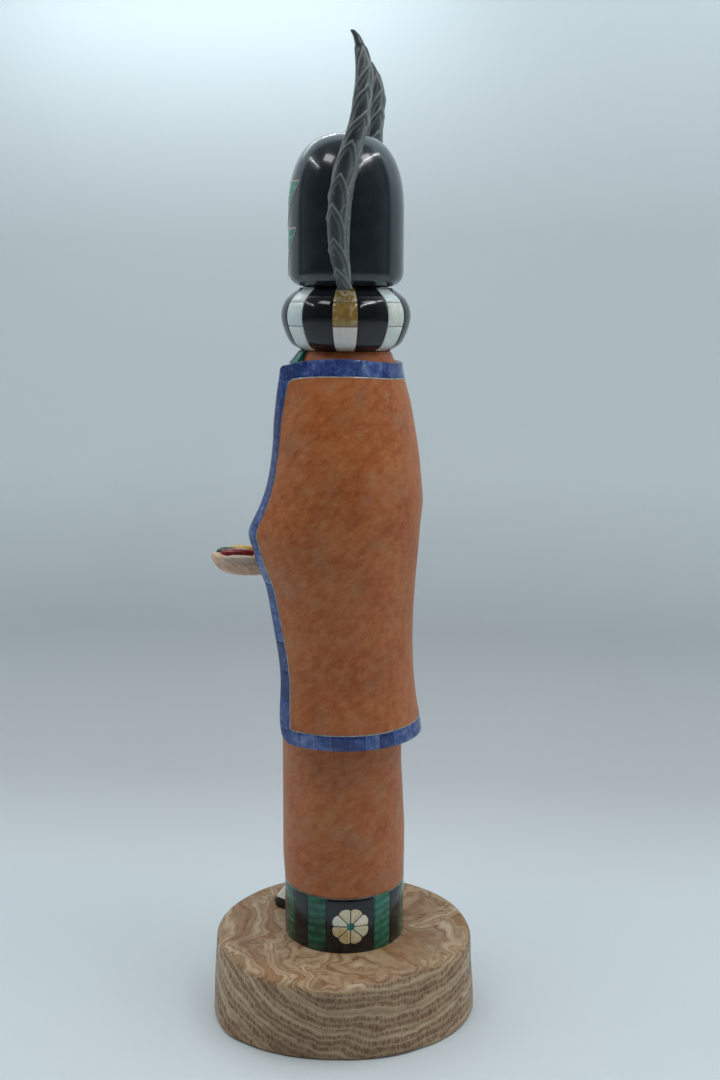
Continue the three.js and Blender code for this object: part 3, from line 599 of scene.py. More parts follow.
def cape_surface(angle, height, inset):
    """An oval round the Z axis, pulled in by inset: x = side sin a, y = -depth cos a."""
    side, front, back, _ = cape_form(height)
    depth = np.where(np.cos(angle) > 0, front, back)
    return points_of(
        np.sin(angle) * (side - inset), -np.cos(angle) * (depth - inset), height - neckline(angle, height))


def from_edge(height, along):
    """The angle of a line that keeps a distance from the front edge, measured along the surface. Towards the
    neckline the line turns in through a quarter circle: r - sqrt(r^2 - up^2)."""
    side, front, _, edge = cape_form(height)
    top = cape_top - along
    up = np.clip(height - (top - corner_radius), 0, corner_radius)
    turned_in = corner_radius - np.sqrt(corner_radius ** 2 - up ** 2)
    return edge + (along + turned_in) / np.hypot(side * np.cos(edge), front * np.sin(edge))


def cape_slab(along, low, high, inset, core_radius, steps=96, levels=90):
    """A shell from one front edge round the back to the other. Its outer face lies inset under the surface and
    its inner face stands at a fixed radius, straight inwards from the outer one."""
    height = np.concatenate([[low], np.linspace(low, high, levels), [high]])[:, None]
    start = from_edge(height, along)
    share = np.concatenate([[0], np.linspace(0, 1, steps), [1]])
    angle = start + (2 * np.pi - 2 * start) * share
    outer = cape_surface(angle, height, np.full_like(angle, inset))
    radius = np.linalg.norm(outer[..., :2], axis=-1, keepdims=True)
    inner = np.concatenate([outer[..., :2] * core_radius / radius, outer[..., 2:]], axis=-1)
    face = outer.copy()
    face[[0, -1]] = inner[[0, -1]]
    face[:, [0, -1]] = inner[:, [0, -1]]
    return [face, inner]


print("cape", round(float(cape_height), 1), "mm high, border", round(float(border_width), 2), "mm wide")

# %% [markdown]
# ### Dress and neck
#
# The dress is a plain column that leans a little at the back of the waist. It goes on up inside the cape to the
# neck, where it rounds in under the collar, and a hidden post carries the collar and helmet. Its lowest part is
# the core that the hem band's tiles are laid round.

# %% Dress
dress_side = 22.9
dress_front = 23.45
dress_waist = 21.4
shoulder_radius = 17.4
neck_radius = 16.6
neck_top_radius = 15.8
core_radius = 19.5
post_radius = 12.0
seat_depth = 0.5
cape_core_radius = 17.0
dress_bottom = wire_high[2]


def dress_grid(steps=96):
    """Ovals stacked up the dress: a narrow foot behind the band, the straight skirt, the waist's hollow back,
    the shoulders and the neck."""
    rise = cape_bottom - base_height
    rows = np.array([
        [base_height - seat_depth, core_radius, core_radius, core_radius],
        [dress_bottom + 0.02, core_radius, core_radius, core_radius],
        [dress_bottom + 0.02, band_radius - 0.25, band_radius - 0.25, band_radius - 0.25],
        [dress_bottom + 0.3, band_radius, band_radius, band_radius],
        [dress_bottom + 0.12 * rise, dress_side, dress_front, dress_side],
        [base_height + 0.52 * rise, dress_side, dress_front, dress_side],
        [base_height + 0.85 * rise, dress_side, dress_front, dress_waist],
        [cape_bottom + 0.58 * cape_height, dress_side, dress_front, dress_waist],
        [cape_bottom + 0.8 * cape_height, 0.95 * dress_side, 0.95 * dress_front, 0.95 * dress_waist],
        [cape_top, shoulder_radius, shoulder_radius, shoulder_radius],
        [cape_top + 0.62 * (neck_top - cape_top), neck_radius, neck_radius, neck_radius],
        [neck_top - 0.2, neck_top_radius, neck_top_radius, neck_top_radius],
        [neck_top + 0.1, post_radius, post_radius, post_radius],
        [head_low[2] + 2, post_radius, post_radius, post_radius],
    ])
    height = np.concatenate([rows[:4, 0], np.linspace(rows[3, 0], rows[9, 0], 70)[1:-1], rows[9:, 0]])
    side, front, back = [np.interp(height, rows[:, 0], rows[:, column]) for column in (1, 2, 3)]
    side[1] = front[1] = back[1] = core_radius
    angle = full_turn(steps)
    depth = np.where(np.cos(angle) > 0, front[:, None], back[:, None])
    return [capped(points_of(side[:, None] * np.sin(angle), -depth * np.cos(angle), height[:, None]))]


def pipestone():
    """Orange stone, clouded red and grey-brown, with short slanting scratches of the last grinding."""
    finish = Finish("pipestone", specular_ior_level=0.38)
    cloud = finish.noise(15, detail=4.0, roughness=0.62, distortion=0.6)
    mottle = finish.noise(2.6, detail=5.0, roughness=0.7, at=finish.mapped(turn=(-55, 0, 0), stretch=(1, 1, 0.55)))
    speck = finish.noise(0.7, detail=2.0)
    field = cloud * 0.3 + mottle * 0.55 + speck * 0.15
    stone = finish.ramp(
        field, (0.4, (148, 76, 34)), (0.47, (162, 90, 45)), (0.54, (170, 102, 56)),
        (0.62, (176, 112, 68)), (0.72, (182, 128, 88)))
    dust = finish.step(finish.noise(9, detail=5.0, roughness=0.72), 0.5, 0.66)
    stone = finish.mix(dust * 0.35, stone, (152, 118, 88))
    red = finish.step(finish.noise(5.5, detail=5.0, roughness=0.7), 0.54, 0.68)
    stone = finish.mix(red * 0.35, stone, (168, 78, 34))
    slant = finish.noise(0.8, detail=2.0, at=finish.mapped(turn=(-60, 0, 0), stretch=(1.0, 1.0, 0.1)))
    cross = finish.noise(0.8, detail=2.0, at=finish.mapped(turn=(-105, 0, 0), stretch=(1.0, 1.0, 0.12)))
    scratch = finish.step(slant, 0.62, 0.72) + finish.step(cross, 0.64, 0.74)
    scratch = scratch * finish.step(mottle, 0.44, 0.6)
    stone = finish.mix(scratch * 0.3, stone, (200, 158, 122))
    pits = finish.step(speck, 0.64, 0.72)
    stone = finish.mix(pits * 0.3, stone, (120, 62, 34))
    rough = 0.36 + mottle * 0.14 + scratch * 0.08
    return finish.paint(stone, rough, speck * 0.06 + scratch * 0.05 + mottle * 0.12 - pits * 0.04, bump=0.22)


pipestone_finish = pipestone()
field_inset = border_width + 0.15
field_sink = 0.02
make_piece(
    "cape_and_dress",
    [
        (dress_grid(), 0.5),
        (cape_slab(0.0, cape_bottom, cape_top, border_depth - 0.1, cape_core_radius), 0.5),
        (cape_slab(
            field_inset, cape_bottom + field_inset, cape_top - field_inset, field_sink, cape_core_radius), 0.5),
    ],
    ["body"], "pipestone", pipestone_finish)

# %% [markdown]
# ## The lapis border
#
# The border is cut from many small blocks of lapis, so each stretch is laid as separate tiles with their own
# tone. A repeated image could do, but real tiles have real joints that catch the light at the hem's corner. All
# tiles come from the same cape surface, so they follow every bend of it.

# %% Lapis tiles
hem_line = cape_bottom + border_width
neck_line = cape_top - border_width
tile_joint = 0.05
hem_joint_angle = math.radians(134)


def lapis():
    """Deep blue with paler clouds, milky flecks and a few grains of pyrite. Each tile has its own tone."""
    finish = Finish("lapis", specular_ior_level=0.5, coat_roughness=0.08)
    tone = finish.tone()
    cloud = finish.noise(3.4, detail=4.0, roughness=0.62)
    fine = finish.noise(0.9, detail=3.0)
    depth = cloud * 0.68 + fine * 0.24 + tone * 0.3
    stone = finish.ramp(
        depth, (0.38, (26, 38, 84)), (0.54, (42, 60, 114)), (0.66, (62, 84, 138)), (0.78, (94, 114, 160)),
        (0.9, (134, 148, 178)))
    milk = finish.step(finish.noise(1.7, detail=4.0, roughness=0.7), 0.6, 0.72)
    stone = finish.mix(milk * 0.45, stone, (136, 148, 178))
    gold = 1 - finish.step(finish.cells(1.9), 0.06, 0.1)
    stone = finish.mix(gold * finish.step(cloud, 0.52, 0.6) * 0.5, stone, (160, 140, 90))
    return finish.paint(stone, 0.16 + fine * 0.12, cloud * 0.05 + fine * 0.04, bump=0.25)


lapis_finish = lapis()

# %% [markdown]
# ### Laying the border
#
# The tiles of one stretch lie between joints at chosen angles or heights. The first and the last tile of a level
# stretch end in a line that follows the cape's front edge, so an end is either an angle or a function of height.

# %% Border stretches


def border_tile(left, right, low, high, across=8, up=5):
    return tile(cape_surface, left, right, low, high, border_depth, across, up, rim=0.1)


def along_edge(distance, turn=1):
    """A side of a tile that keeps its distance from the front edge, on the left or the right of the figure."""
    return lambda height: from_edge(height, distance) if turn > 0 else 2 * np.pi - from_edge(height, distance)


def arc_tiles(start, ends, low, high, gap):
    """Tiles side by side round the cape between the given angles, with a joint between them."""
    edges = [start, *ends]
    made = []
    for left, right in zip(edges[:-1], edges[1:]):
        if callable(left):
            sides = (left, right - gap)
        elif callable(right):
            sides = (left + gap, right)
        else:
            sides = (left + gap, right - gap)
        made.append((border_tile(*sides, low, high, across=10), float(seed.uniform(0.1, 0.9))))
    return made


def half_border(part, side, steps, low, high):
    """A level stretch of the border, from the left front edge to the last angle or mirrored on the right."""
    gap = tile_joint / cape_hem_radius
    if side == "left":
        tiles = arc_tiles(along_edge(0.0), list(steps), low, high, gap)
    else:
        mirrored = 2 * np.pi - steps[::-1]
        tiles = arc_tiles(mirrored[0], [*mirrored[1:], along_edge(0.0, turn=-1)], low, high, gap)
    make_piece(f"{part}_border_{side}", tiles, [f"cape_border_{part}_{side}"], "lapis", lapis_finish)


def border_pieces():
    hem_steps = np.linspace(math.radians(51), hem_joint_angle, 8)[1:]
    back_steps = np.linspace(hem_joint_angle, 2 * np.pi - hem_joint_angle, 9)
    hem = (cape_bottom, hem_line - tile_joint)
    half_border("hem", "left", hem_steps, *hem)
    make_piece(
        "hem_border_back", arc_tiles(back_steps[0], list(back_steps[1:]), *hem, tile_joint / cape_hem_radius),
        ["cape_border_hem_back"], "lapis", lapis_finish)
    half_border("hem", "right", hem_steps, *hem)
    joints = np.linspace(hem_line, neck_line, 13)
    for side, turn in (("left", 1), ("right", -1)):
        sides = (along_edge(0.0, turn), along_edge(border_width, turn))
        tiles = [
            (border_tile(*sides[::turn], low + tile_joint, high - tile_joint, across=5, up=12),
             float(seed.uniform(0.1, 0.9)))
            for low, high in zip(joints[:-1], joints[1:])
        ]
        make_piece(f"front_border_{side}", tiles, [f"cape_border_front_{side}"], "lapis", lapis_finish)
    neck_steps = np.linspace(math.radians(42), np.pi, 7)[1:]
    for side in ("left", "right"):
        half_border("neck", side, neck_steps, neck_line + tile_joint, cape_top)


border_pieces()

# %% [markdown]
# ## Silver channel wire
#
# A flat silver wire runs inside the border and another tops the hem band. Each is half sunk between two stones
# and polished down with them, so only a bright hairline shows. A thin tube round a closed path gives that line
# its glint.

# %% Wires


def silver():
    """Bright metal with slight dulling and fine rubbing."""
    finish = Finish("silver", metallic=1.0)
    dull = finish.noise(2.4, detail=3.0)
    fine = finish.noise(0.3, detail=2.0)
    shade = finish.ramp(dull, (0.35, (168, 166, 158)), (0.6, (206, 204, 198)))
    return finish.paint(shade, 0.3 + dull * 0.2, fine * 0.02, bump=0.2)


silver_finish = silver()


def cape_wire_path(along, turns=150, levels=150):
    """Round the hem, up one front edge, round the neckline and down the other, at a distance from the border."""
    low, high = cape_bottom + along, cape_top - along
    low_angle = from_edge(np.array([low]), along)[0]
    high_angle = from_edge(np.array([high]), along)[0]
    share = np.linspace(0, 1, turns, endpoint=False)
    rise = np.linspace(0, 1, levels, endpoint=False)
    up = low + (high - low) * rise
    down = up[::-1] + (high - low) / levels
    angle = np.concatenate([
        low_angle + (2 * np.pi - 2 * low_angle) * share,
        2 * np.pi - from_edge(up, along),
        2 * np.pi - high_angle - (2 * np.pi - 2 * high_angle) * share,
        from_edge(down, along),
    ])
    height = np.concatenate([np.full(turns, low), up, np.full(turns, high), down])
    surface = cape_surface(angle, height, np.zeros_like(angle))
    outward = surface - cape_surface(angle, height, np.ones_like(angle))
    return surface, outward


wire_sink = 0.12
wire_path, wire_outward = cape_wire_path(border_width + wire_width / 2)
wire_path = wire_path - wire_outward * wire_sink
make_piece(
    "cape_channel_wire", [(closed_wire(wire_path, wire_outward, wire_width * 0.6), 0.5)],
    ["cape_wire"], "silver", silver_finish)

ring_angle = full_turn(160)[:-1]
ring_height = float(wire_low[2] + wire_high[2]) / 2
ring_radius = band_radius - 0.15
ring_path = round_z(ring_angle, ring_radius, ring_height)
ring_outward = round_z(ring_angle, 1.0, 0.0)
make_piece(
    "hem_channel_wire", [(closed_wire(ring_path, ring_outward, wire_width * 0.5), 0.5)],
    ["hem_wire"], "silver", silver_finish)

# %% [markdown]
# ## The hem band
#
# The band alternates malachite and jet, with two wide jet panels that carry a shell flower each. Every stripe is
# its own tile on a cylinder. Malachite's own stripes run across each tile in bands of light and dark green, which
# is a wave texture bent by noise. Jet is nearly black, and what shows on it is the polish: faint scratches and
# dust that break up the reflections.

# %% Stones of the band
band_bottom = base_height
band_top = wire_low[2]
band_depth = 2.5
panel_sweep = 47
panel_turn = 101.5
stripes_per_side = 7
stripe_sweep = (360 - 2 * panel_sweep) / (2 * stripes_per_side)


def malachite():
    """Level green bands, bent a little, in tiles that are lighter or darker as a whole."""
    finish = Finish("malachite", specular_ior_level=0.5, coat_roughness=0.06)
    tone = finish.tone()
    wave = finish.bands(3.2, 4.5, at=finish.mapped(turn=(8, 10, 0), stretch=(0.5, 0.5, 1.0)))
    fine = finish.bands(0.9, 2.0, at=finish.mapped(turn=(8, 10, 0), stretch=(0.4, 0.4, 1.0)))
    cloud = finish.noise(3.5, detail=4.0)
    shade = wave * 0.16 + fine * 0.07 + cloud * 0.5 + tone * 0.28
    stone = finish.ramp(
        shade, (0.28, (10, 50, 36)), (0.45, (20, 78, 58)), (0.6, (34, 102, 80)), (0.8, (66, 134, 110)))
    return finish.paint(stone, 0.14 + fine * 0.08, cloud * 0.04, bump=0.2)


def jet(name, rough, low, high, coat=0.0):
    """Black stone from a low to a high grey, with faint clouds and dust specks."""
    finish = Finish(name, specular_ior_level=0.5, coat_weight=coat, coat_roughness=0.03)
    cloud = finish.noise(7, detail=4.0)
    rubbing = finish.noise(1.1, detail=3.0, at=finish.mapped(turn=(24, 8, 0), stretch=(1, 1, 0.2)))
    dust = 1 - finish.step(finish.cells(3.1), 0.035, 0.06)
    stone = finish.ramp(cloud, (0.35, low), (0.65, high))
    stone = finish.mix(dust * 0.35, stone, (96, 96, 94))
    return finish.paint(stone, rough + rubbing * 0.1 + dust * 0.2, rubbing * 0.03 + cloud * 0.1, bump=0.12)


malachite_finish = malachite()
jet_finish = jet("polished_jet", 0.07, (16, 20, 24), (26, 30, 34))


def band_surface(angle, height, inset):
    """A cylinder round the Z axis."""
    return round_z(angle, band_radius - inset, height)


def band_tile(from_degrees, to_degrees, across):
    gap = tile_joint / band_radius
    left, right = math.radians(from_degrees) + gap, math.radians(to_degrees) - gap
    return tile(band_surface, left, right, band_bottom, band_top - 0.02, band_depth, across, up=5, rim=0.12)


for half, side in enumerate(("left", "right")):
    start = panel_turn + 180 * half - panel_sweep / 2
    make_piece(
        f"hem_panel_stone_{side}", [(band_tile(start, start + panel_sweep, 20), 0.5)],
        [f"hem_panel_{side}"], "jet", jet_finish)
    for stripe in range(stripes_per_side):
        stone, finish = ("malachite", malachite_finish) if stripe % 2 == 0 else ("jet", jet_finish)
        number = half * stripes_per_side + stripe + 1
        near = start + panel_sweep + stripe * stripe_sweep
        tone = float(seed.uniform(0.1, 0.9))
        make_piece(
            f"hem_stripe_{number}", [(band_tile(near, near + stripe_sweep, 8), tone)],
            [f"hem_{stone}_{number}"], stone, finish)

# %% [markdown]
# ### The flowers
#
# Each flower has eight petals of mother-of-pearl round a turquoise dot. Mother-of-pearl is layered shell that
# shimmers from cream to gold and pink, and each petal is cut from another part of the shell. So a petal's tone
# chooses its hue, and the fine grain of the layers bends the reflection a little.

# %% Flowers
flower_radius = 7.1
flower_eye = 1.6
petal_count = 8
petal_gap = 0.34
petal_depth = 0.6


def mother_of_pearl(name, *hues):
    """Pale shell: the tone picks a hue, and soft clouds of the other hues drift through it."""
    finish = Finish(name, specular_ior_level=0.6, coat_weight=0.5, coat_roughness=0.06)
    tone = finish.tone()
    drift = finish.noise(3.2, detail=2.0, distortion=1.2)
    grain = finish.noise(0.7, detail=2.0, at=finish.mapped(turn=(30, 20, 0), stretch=(1, 1, 0.25)))
    place = tone * 0.8 + drift * 0.5 - 0.12
    shell = finish.ramp(place, *hues)
    shell = finish.mix(finish.step(grain, 0.45, 0.7) * finish.step(tone, 0.2, 0.5) * 0.25, shell, (246, 244, 236))
    return finish.paint(shell, 0.16 + grain * 0.1, grain * 0.06 + drift * 0.05, bump=0.2)


def turquoise():
    """Blue-green stone with paler clouds and thin brown lines."""
    finish = Finish("turquoise", specular_ior_level=0.5)
    cloud = finish.noise(3.0, detail=4.0)
    web = 1 - finish.step(finish.cells(2.6, "DISTANCE_TO_EDGE"), 0.0, 0.03)
    stone = finish.ramp(cloud, (0.35, (18, 92, 88)), (0.5, (28, 116, 108)), (0.65, (60, 146, 132)))
    stone = finish.mix(web * 0.35, stone, (60, 66, 52))
    return finish.paint(stone, 0.22 + cloud * 0.1, cloud * 0.05 - web * 0.04, bump=0.25)


petal_shell = mother_of_pearl(
    "petal_shell", (0.1, (226, 220, 190)), (0.3, (210, 206, 172)), (0.5, (206, 218, 214)), (0.62, (232, 226, 206)),
    (0.78, (208, 192, 150)), (0.95, (192, 164, 104)))
turquoise_finish = turquoise()


def flower_surface(turn, middle):
    """Places round a flower's centre on the band: a is the angle about the centre, b the distance from it."""

    def surface(a, b, inset):
        angle = math.radians(turn) + b * np.sin(a) / band_radius
        return band_surface(angle, middle + b * np.cos(a), inset)

    return surface


def flower(turn):
    """Eight petals as tiles between two rays, whose far rim bows out and whose sides keep a small gap."""
    middle = (band_bottom + band_top) / 2
    surface = flower_surface(turn, middle)
    half = math.pi / petal_count
    solids = []
    for petal in range(petal_count):
        centre = (petal + 0.5) * 2 * half

        def bowed(a, b, inset, centre=centre):
            """Stretches the far end so that the petal's rim is rounder than the circle."""
            off = np.abs(a - centre) / half
            reach = flower_eye + (b - flower_eye) * (1 - 0.16 * off ** 2.4)
            return surface(a, reach, inset)

        solids.append((
            tile(
                bowed, lambda b, c=centre: c - half + petal_gap / 2 / b,
                lambda b, c=centre: c + half - petal_gap / 2 / b,
                flower_eye - 0.15, flower_radius, petal_depth, across=10, up=8, rim=0.12, proud=0.07),
            float(seed.uniform(0.05, 0.95))))
    ring = np.concatenate([[0.0], np.linspace(0.1, 0.85, 5), [0.96, 1, 1]])[:, None] * flower_eye
    lift = np.array([0.1, 0.1, 0.1, 0.09, 0.08, 0.06, 0.02, -0.06, -petal_depth])[:, None]
    angle = full_turn(28)
    top = surface(angle + 0 * ring, ring + 0 * angle, -lift + 0 * angle)
    under = surface(angle + 0 * ring, ring + 0 * angle, petal_depth + 0 * (angle + ring))
    return solids, [top, under]


for half, side in enumerate(("left", "right")):
    petals, eye = flower(panel_turn + 180 * half)
    make_piece(f"flower_petals_{side}", petals, [f"hem_flower_{side}"], "shell", petal_shell)
    make_piece(f"flower_eye_{side}", [(eye, 0.5)], [f"hem_flower_{side}"], "turquoise", turquoise_finish)

# %% [markdown]
# ## The collar
#
# A fat ring of shell and jet tiles sits between the cape and the helmet. Its tiles are curved both ways, so the
# surface is a bulging profile carried round the axis. Each shell stripe is built of four small tiles, and the one
# that faces the side shows a golden tile over a white one, so the tones are chosen and not left to chance there.

# %% Collar tiles
ruff_bottom, ruff_top = float(ruff_low[2]), float(ruff_high[2])
ruff_radius = 23.1
ruff_end_radius = 16.2
ruff_depth = 2.6
ruff_pairs = 7
ruff_shell_sweep = 22
ruff_turn = 94.75
ruff_rows = [(0, 0, 0), (0.22, 0.13, 0.57), (0.5, 0.5, 1), (0.76, 0.79, 0.78), (1, 1, 0.02)]
ruff_rise = through(ruff_rows, 1)
ruff_bulge = through(ruff_rows, 2)


def ruff_profile(along):
    radius = ruff_end_radius + (ruff_radius - ruff_end_radius) * ruff_bulge(along)
    return radius, ruff_bottom + (ruff_top - ruff_bottom) * ruff_rise(along)


def ruff_surface(angle, along, inset):
    """The profile round the axis, moved in across its own slope: the slope is read a little before and after."""
    radius, height = ruff_profile(along)
    before, after = ruff_profile(np.clip(along - 0.01, 0, 1)), ruff_profile(np.clip(along + 0.01, 0, 1))
    run_radius, run_height = after[0] - before[0], after[1] - before[1]
    length = np.hypot(run_radius, run_height)
    radius = radius - inset * run_height / length
    height = height + inset * run_radius / length
    return round_z(angle, radius, height)


def ruff_tile(from_degrees, to_degrees, low, high, across, up):
    gap = tile_joint / ruff_radius
    left, right = math.radians(from_degrees) + gap, math.radians(to_degrees) - gap
    return tile(ruff_surface, left, right, low, high, ruff_depth, across, up, rim=0.12)


ruff_shell = mother_of_pearl(
    "collar_shell", (0.02, (112, 84, 38)), (0.2, (150, 120, 62)), (0.36, (196, 196, 178)), (0.55, (206, 214, 208)),
    (0.75, (190, 206, 208)), (0.95, (220, 206, 196)))
ruff_joints = [0.0, 0.13, 0.42, 0.74, 1.0]
ruff_gap = 0.004
side_tones = [0.3, 0.95, 0.05, 0.12]

for pair in range(ruff_pairs):
    shell_start = ruff_turn - ruff_shell_sweep / 2 + pair * 360 / ruff_pairs
    jet_start = shell_start + ruff_shell_sweep
    tones = side_tones if pair == 0 else [float(v) for v in seed.uniform(0.42, 0.85, 4)]
    make_piece(
        f"collar_shell_{pair + 1}",
        [
            (ruff_tile(shell_start, jet_start, low + ruff_gap, high - ruff_gap, 8, 6), tone)
            for low, high, tone in zip(ruff_joints[:-1], ruff_joints[1:], tones)
        ],
        [f"ruff_shell_{pair + 1}"], "shell", ruff_shell)
    make_piece(
        f"collar_jet_{pair + 1}",
        [(ruff_tile(jet_start, shell_start + 360 / ruff_pairs, 0.0, 1.0, 12, 24), 0.5)],
        [f"ruff_jet_{pair + 1}"], "jet", jet_finish)

# %% [markdown]
# ## The necklace strands
#
# Two pairs of thin stone strands come out of the cape's neckline and run up under the collar. They are set into
# the neck, with only their faces showing.

# %% Necklace strands
strand_width = 3.0
strand_depth = 2.4
strand_rows = [
    ("necklace_malachite_left", 21, "malachite", malachite_finish),
    ("necklace_malachite_right", -21, "malachite", malachite_finish),
    ("necklace_turquoise_left", 31.5, "turquoise", turquoise_finish),
    ("necklace_turquoise_right", -31.5, "turquoise", turquoise_finish),
]


def neck_surface(angle, height, inset):
    """A cone from the neckline up under the collar, standing proud of the neck."""
    share = (height - cape_top) / (neck_top - cape_top)
    radius = np.interp(share, [-0.3, 1], [shoulder_radius + 3.6, neck_top_radius + 1.2]) - inset
    return round_z(angle, radius, height)


for node, turn, slot, finish in strand_rows:
    half_sweep = math.degrees(strand_width / 2 / shoulder_radius)
    strand = tile(
        neck_surface, math.radians(turn - half_sweep), math.radians(turn + half_sweep),
        cape_top - 1.0, neck_top, strand_depth, across=4, up=6, rim=0.3)
    make_piece(f"{node}_stone", [(strand, 0.5)], [node], slot, finish)

# %% [markdown]
# ## The helmet and its face
#
# The helmet is one polished black cylinder with a full dome, like a thimble. Its dome is a superellipse, rounder
# in the shoulder than a half ball. The face is plain geometry: two tiers of turquoise that narrow downwards, each
# outlined by a thin line of orange stone.

# %% Helmet
head_bottom, head_top = float(head_low[2]), float(head_high[2])
head_radius = 20.45
head_rounding = 5.0
dome_height = 29.0
dome_fullness = 2.6
dome_start = head_top - dome_height


def helmet_radius(height):
    """Straight wall, then radius = R (1 - up^n)^(1/n) over the dome."""
    up = np.clip((height - dome_start) / dome_height, 0, 1)
    return head_radius * (1 - up ** dome_fullness) ** (1 / dome_fullness)


def helmet_profile():
    turn = np.linspace(-np.pi / 2, 0, 12)
    foot = np.stack([
        head_radius - head_rounding + np.cos(turn) * head_rounding,
        head_bottom + head_rounding * (1 + np.sin(turn))], axis=1)
    wall = np.stack([np.full(12, head_radius), np.linspace(foot[-1, 1], dome_start, 14)[1:-1]], axis=1)
    angle = np.linspace(0, np.pi / 2, 40)
    dome = np.stack([
        head_radius * np.cos(angle).clip(0) ** (2 / dome_fullness),
        dome_start + dome_height * np.sin(angle) ** (2 / dome_fullness)], axis=1)
    plug = [[0.0, ruff_top], [head_radius - head_rounding - 0.6, ruff_top]]
    return np.concatenate([plug, foot, wall, dome])


def helmet_surface(angle, height, inset):
    return round_z(angle, helmet_radius(height) - inset, height)


helmet_jet = jet("helmet_jet", 0.14, (26, 33, 38), (35, 43, 48), coat=0.5)
make_piece("helmet", [(revolved(helmet_profile(), 128), 0.5)], ["head"], "jet", helmet_jet)

# %% [markdown]
# ### The face
#
# Each tier is one tile of the helmet's own surface between two lines whose angle grows upwards. The outline is a
# thin wire along the tier's four sides.

# %% Face
outline_finish = mother_of_pearl("outline_stone", (0.2, (186, 150, 124)), (0.8, (206, 176, 150)))
# Each row: node, low and high line over the helmet's foot, and the half-angle at each in degrees
face_rows = [
    ("face_upper", 20.2, 36.2, 7.0, 40.8),
    ("face_lower", 3.2, 20.2, 0.6, 37.8),
]
outline_radius = 0.2
face_depth = 0.9
face_room = 0.35


def face_tier(low, high, low_angle, high_angle):
    """A tier that opens upwards: its half-angle grows evenly from the low to the high line."""
    widen = through([(low, math.radians(low_angle)), (high, math.radians(high_angle))])
    return tile(
        helmet_surface, lambda b: -widen(b), widen, low, high, face_depth, across=18, up=18, rim=0.1,
        proud=0.05)


def face_outline(low, high, low_angle, high_angle, steps=30):
    share = np.linspace(0, 1, steps, endpoint=False)
    bottom, top = math.radians(low_angle), math.radians(high_angle)
    angle = np.concatenate([
        -bottom + 2 * bottom * share, bottom + (top - bottom) * share,
        top - 2 * top * share, -top + (top - bottom) * share])
    height = np.concatenate([
        np.full(steps, low), low + (high - low) * share, np.full(steps, high), high - (high - low) * share])
    path = helmet_surface(angle, height, np.full_like(angle, -0.02))
    return path, round_z(angle, 1.0, 0.0)


for node, low, high, low_angle, high_angle in face_rows:
    ends = (head_bottom + low + face_room, head_bottom + high - face_room)
    make_piece(
        f"{node}_stone", [(face_tier(*ends, low_angle, high_angle), 0.5)], [node], "turquoise", turquoise_finish)
    path, outward = face_outline(*ends, low_angle, high_angle)
    make_piece(
        f"{node}_outline", [(closed_wire(path, outward, outline_radius), 0.5)], [node], "pipestone",
        outline_finish)

# %% [markdown]
# ## The wings
#
# Each wing is carved from black stone as a curved horn covered in overlapping feathers. The form from the side
# comes from curves over the height. The feathers are relief: every feather is a height over the horn that rises
# towards its tip and ends in a thin raised rim, and the horn's surface takes the highest feather at each point. A
# lower feather so always lies over the root of the one above, as on a real wing, and no feather has to be fitted
# to its neighbour. The rims carry a painted highlight of pale grey, so each point's tone says how near it is to a
# rim.

# %% Wing form
wing_low, wing_high = node_box("wing_left")
wing_bottom, wing_top = float(wing_low[2]), float(wing_high[2])
wing_height = wing_top - wing_bottom
wing_width = 7.9
wing_thickness = 16.4
wing_reach = 28.8
# Each row: a share of the wing's height, then the centre outwards as a share of the reach, the centre backwards as
# a share of the width, the half thickness and the half width as shares of their own measures
wing_rows = [
    (0, 0.82, 0.24, 0.18, 0.32), (0.036, 0.86, 0.18, 0.24, 0.34), (0.13, 0.92, 0.05, 0.35, 0.42),
    (0.236, 0.97, 0.02, 0.43, 0.48), (0.34, 1, 0.09, 0.47, 0.48), (0.436, 1.01, 0.27, 0.49, 0.47),
    (0.552, 1.02, 0.6, 0.49, 0.4), (0.65, 1.02, 0.9, 0.44, 0.35), (0.746, 1.02, 1.01, 0.38, 0.3),
    (0.83, 1.02, 1.08, 0.3, 0.28), (0.9, 1.01, 0.98, 0.22, 0.235), (0.96, 1.01, 0.78, 0.13, 0.16),
    (0.99, 1, 0.56, 0.08, 0.09), (1, 1, 0.5, 0.03, 0.04),
]
# Each row: a feather tip's share of the wing's height, and its place behind the middle as a share of the width
feather_tips = [
    (0.95, 0.1), (0.88, 0.2), (0.8, 0.2), (0.695, 0.2), (0.58, 0.04),
    (0.455, -0.03), (0.34, -0.13), (0.209, -0.08), (0.093, -0.09),
]
out_at, back_place, half_thick_at, half_width_at = [through(wing_rows, column) for column in (1, 2, 3, 4)]


def wing_form(share):
    """Centre outwards, centre backwards, half thickness outwards, half width from front to back."""
    return (
        out_at(share) * wing_reach, back_place(share) * wing_width,
        half_thick_at(share) * wing_thickness, half_width_at(share) * wing_width)


# %% [markdown]
# ### Feathers as relief
#
# The relief is a height over the horn for every grid point, so that the feathers can't tear or cut each other.
# A feather is described by where its tip lies, by its half-width and by how far it stands out at the tip.

# %% Feathers
feather_length = 24.0
feather_half_width = 3.3
rim_width = 0.3
slim_rows = ((0.0, 0.3, 0.6, 0.8), (0.74, 0.82, 0.9, 1.0))
rim_height = 0.4
tip_share = 0.985


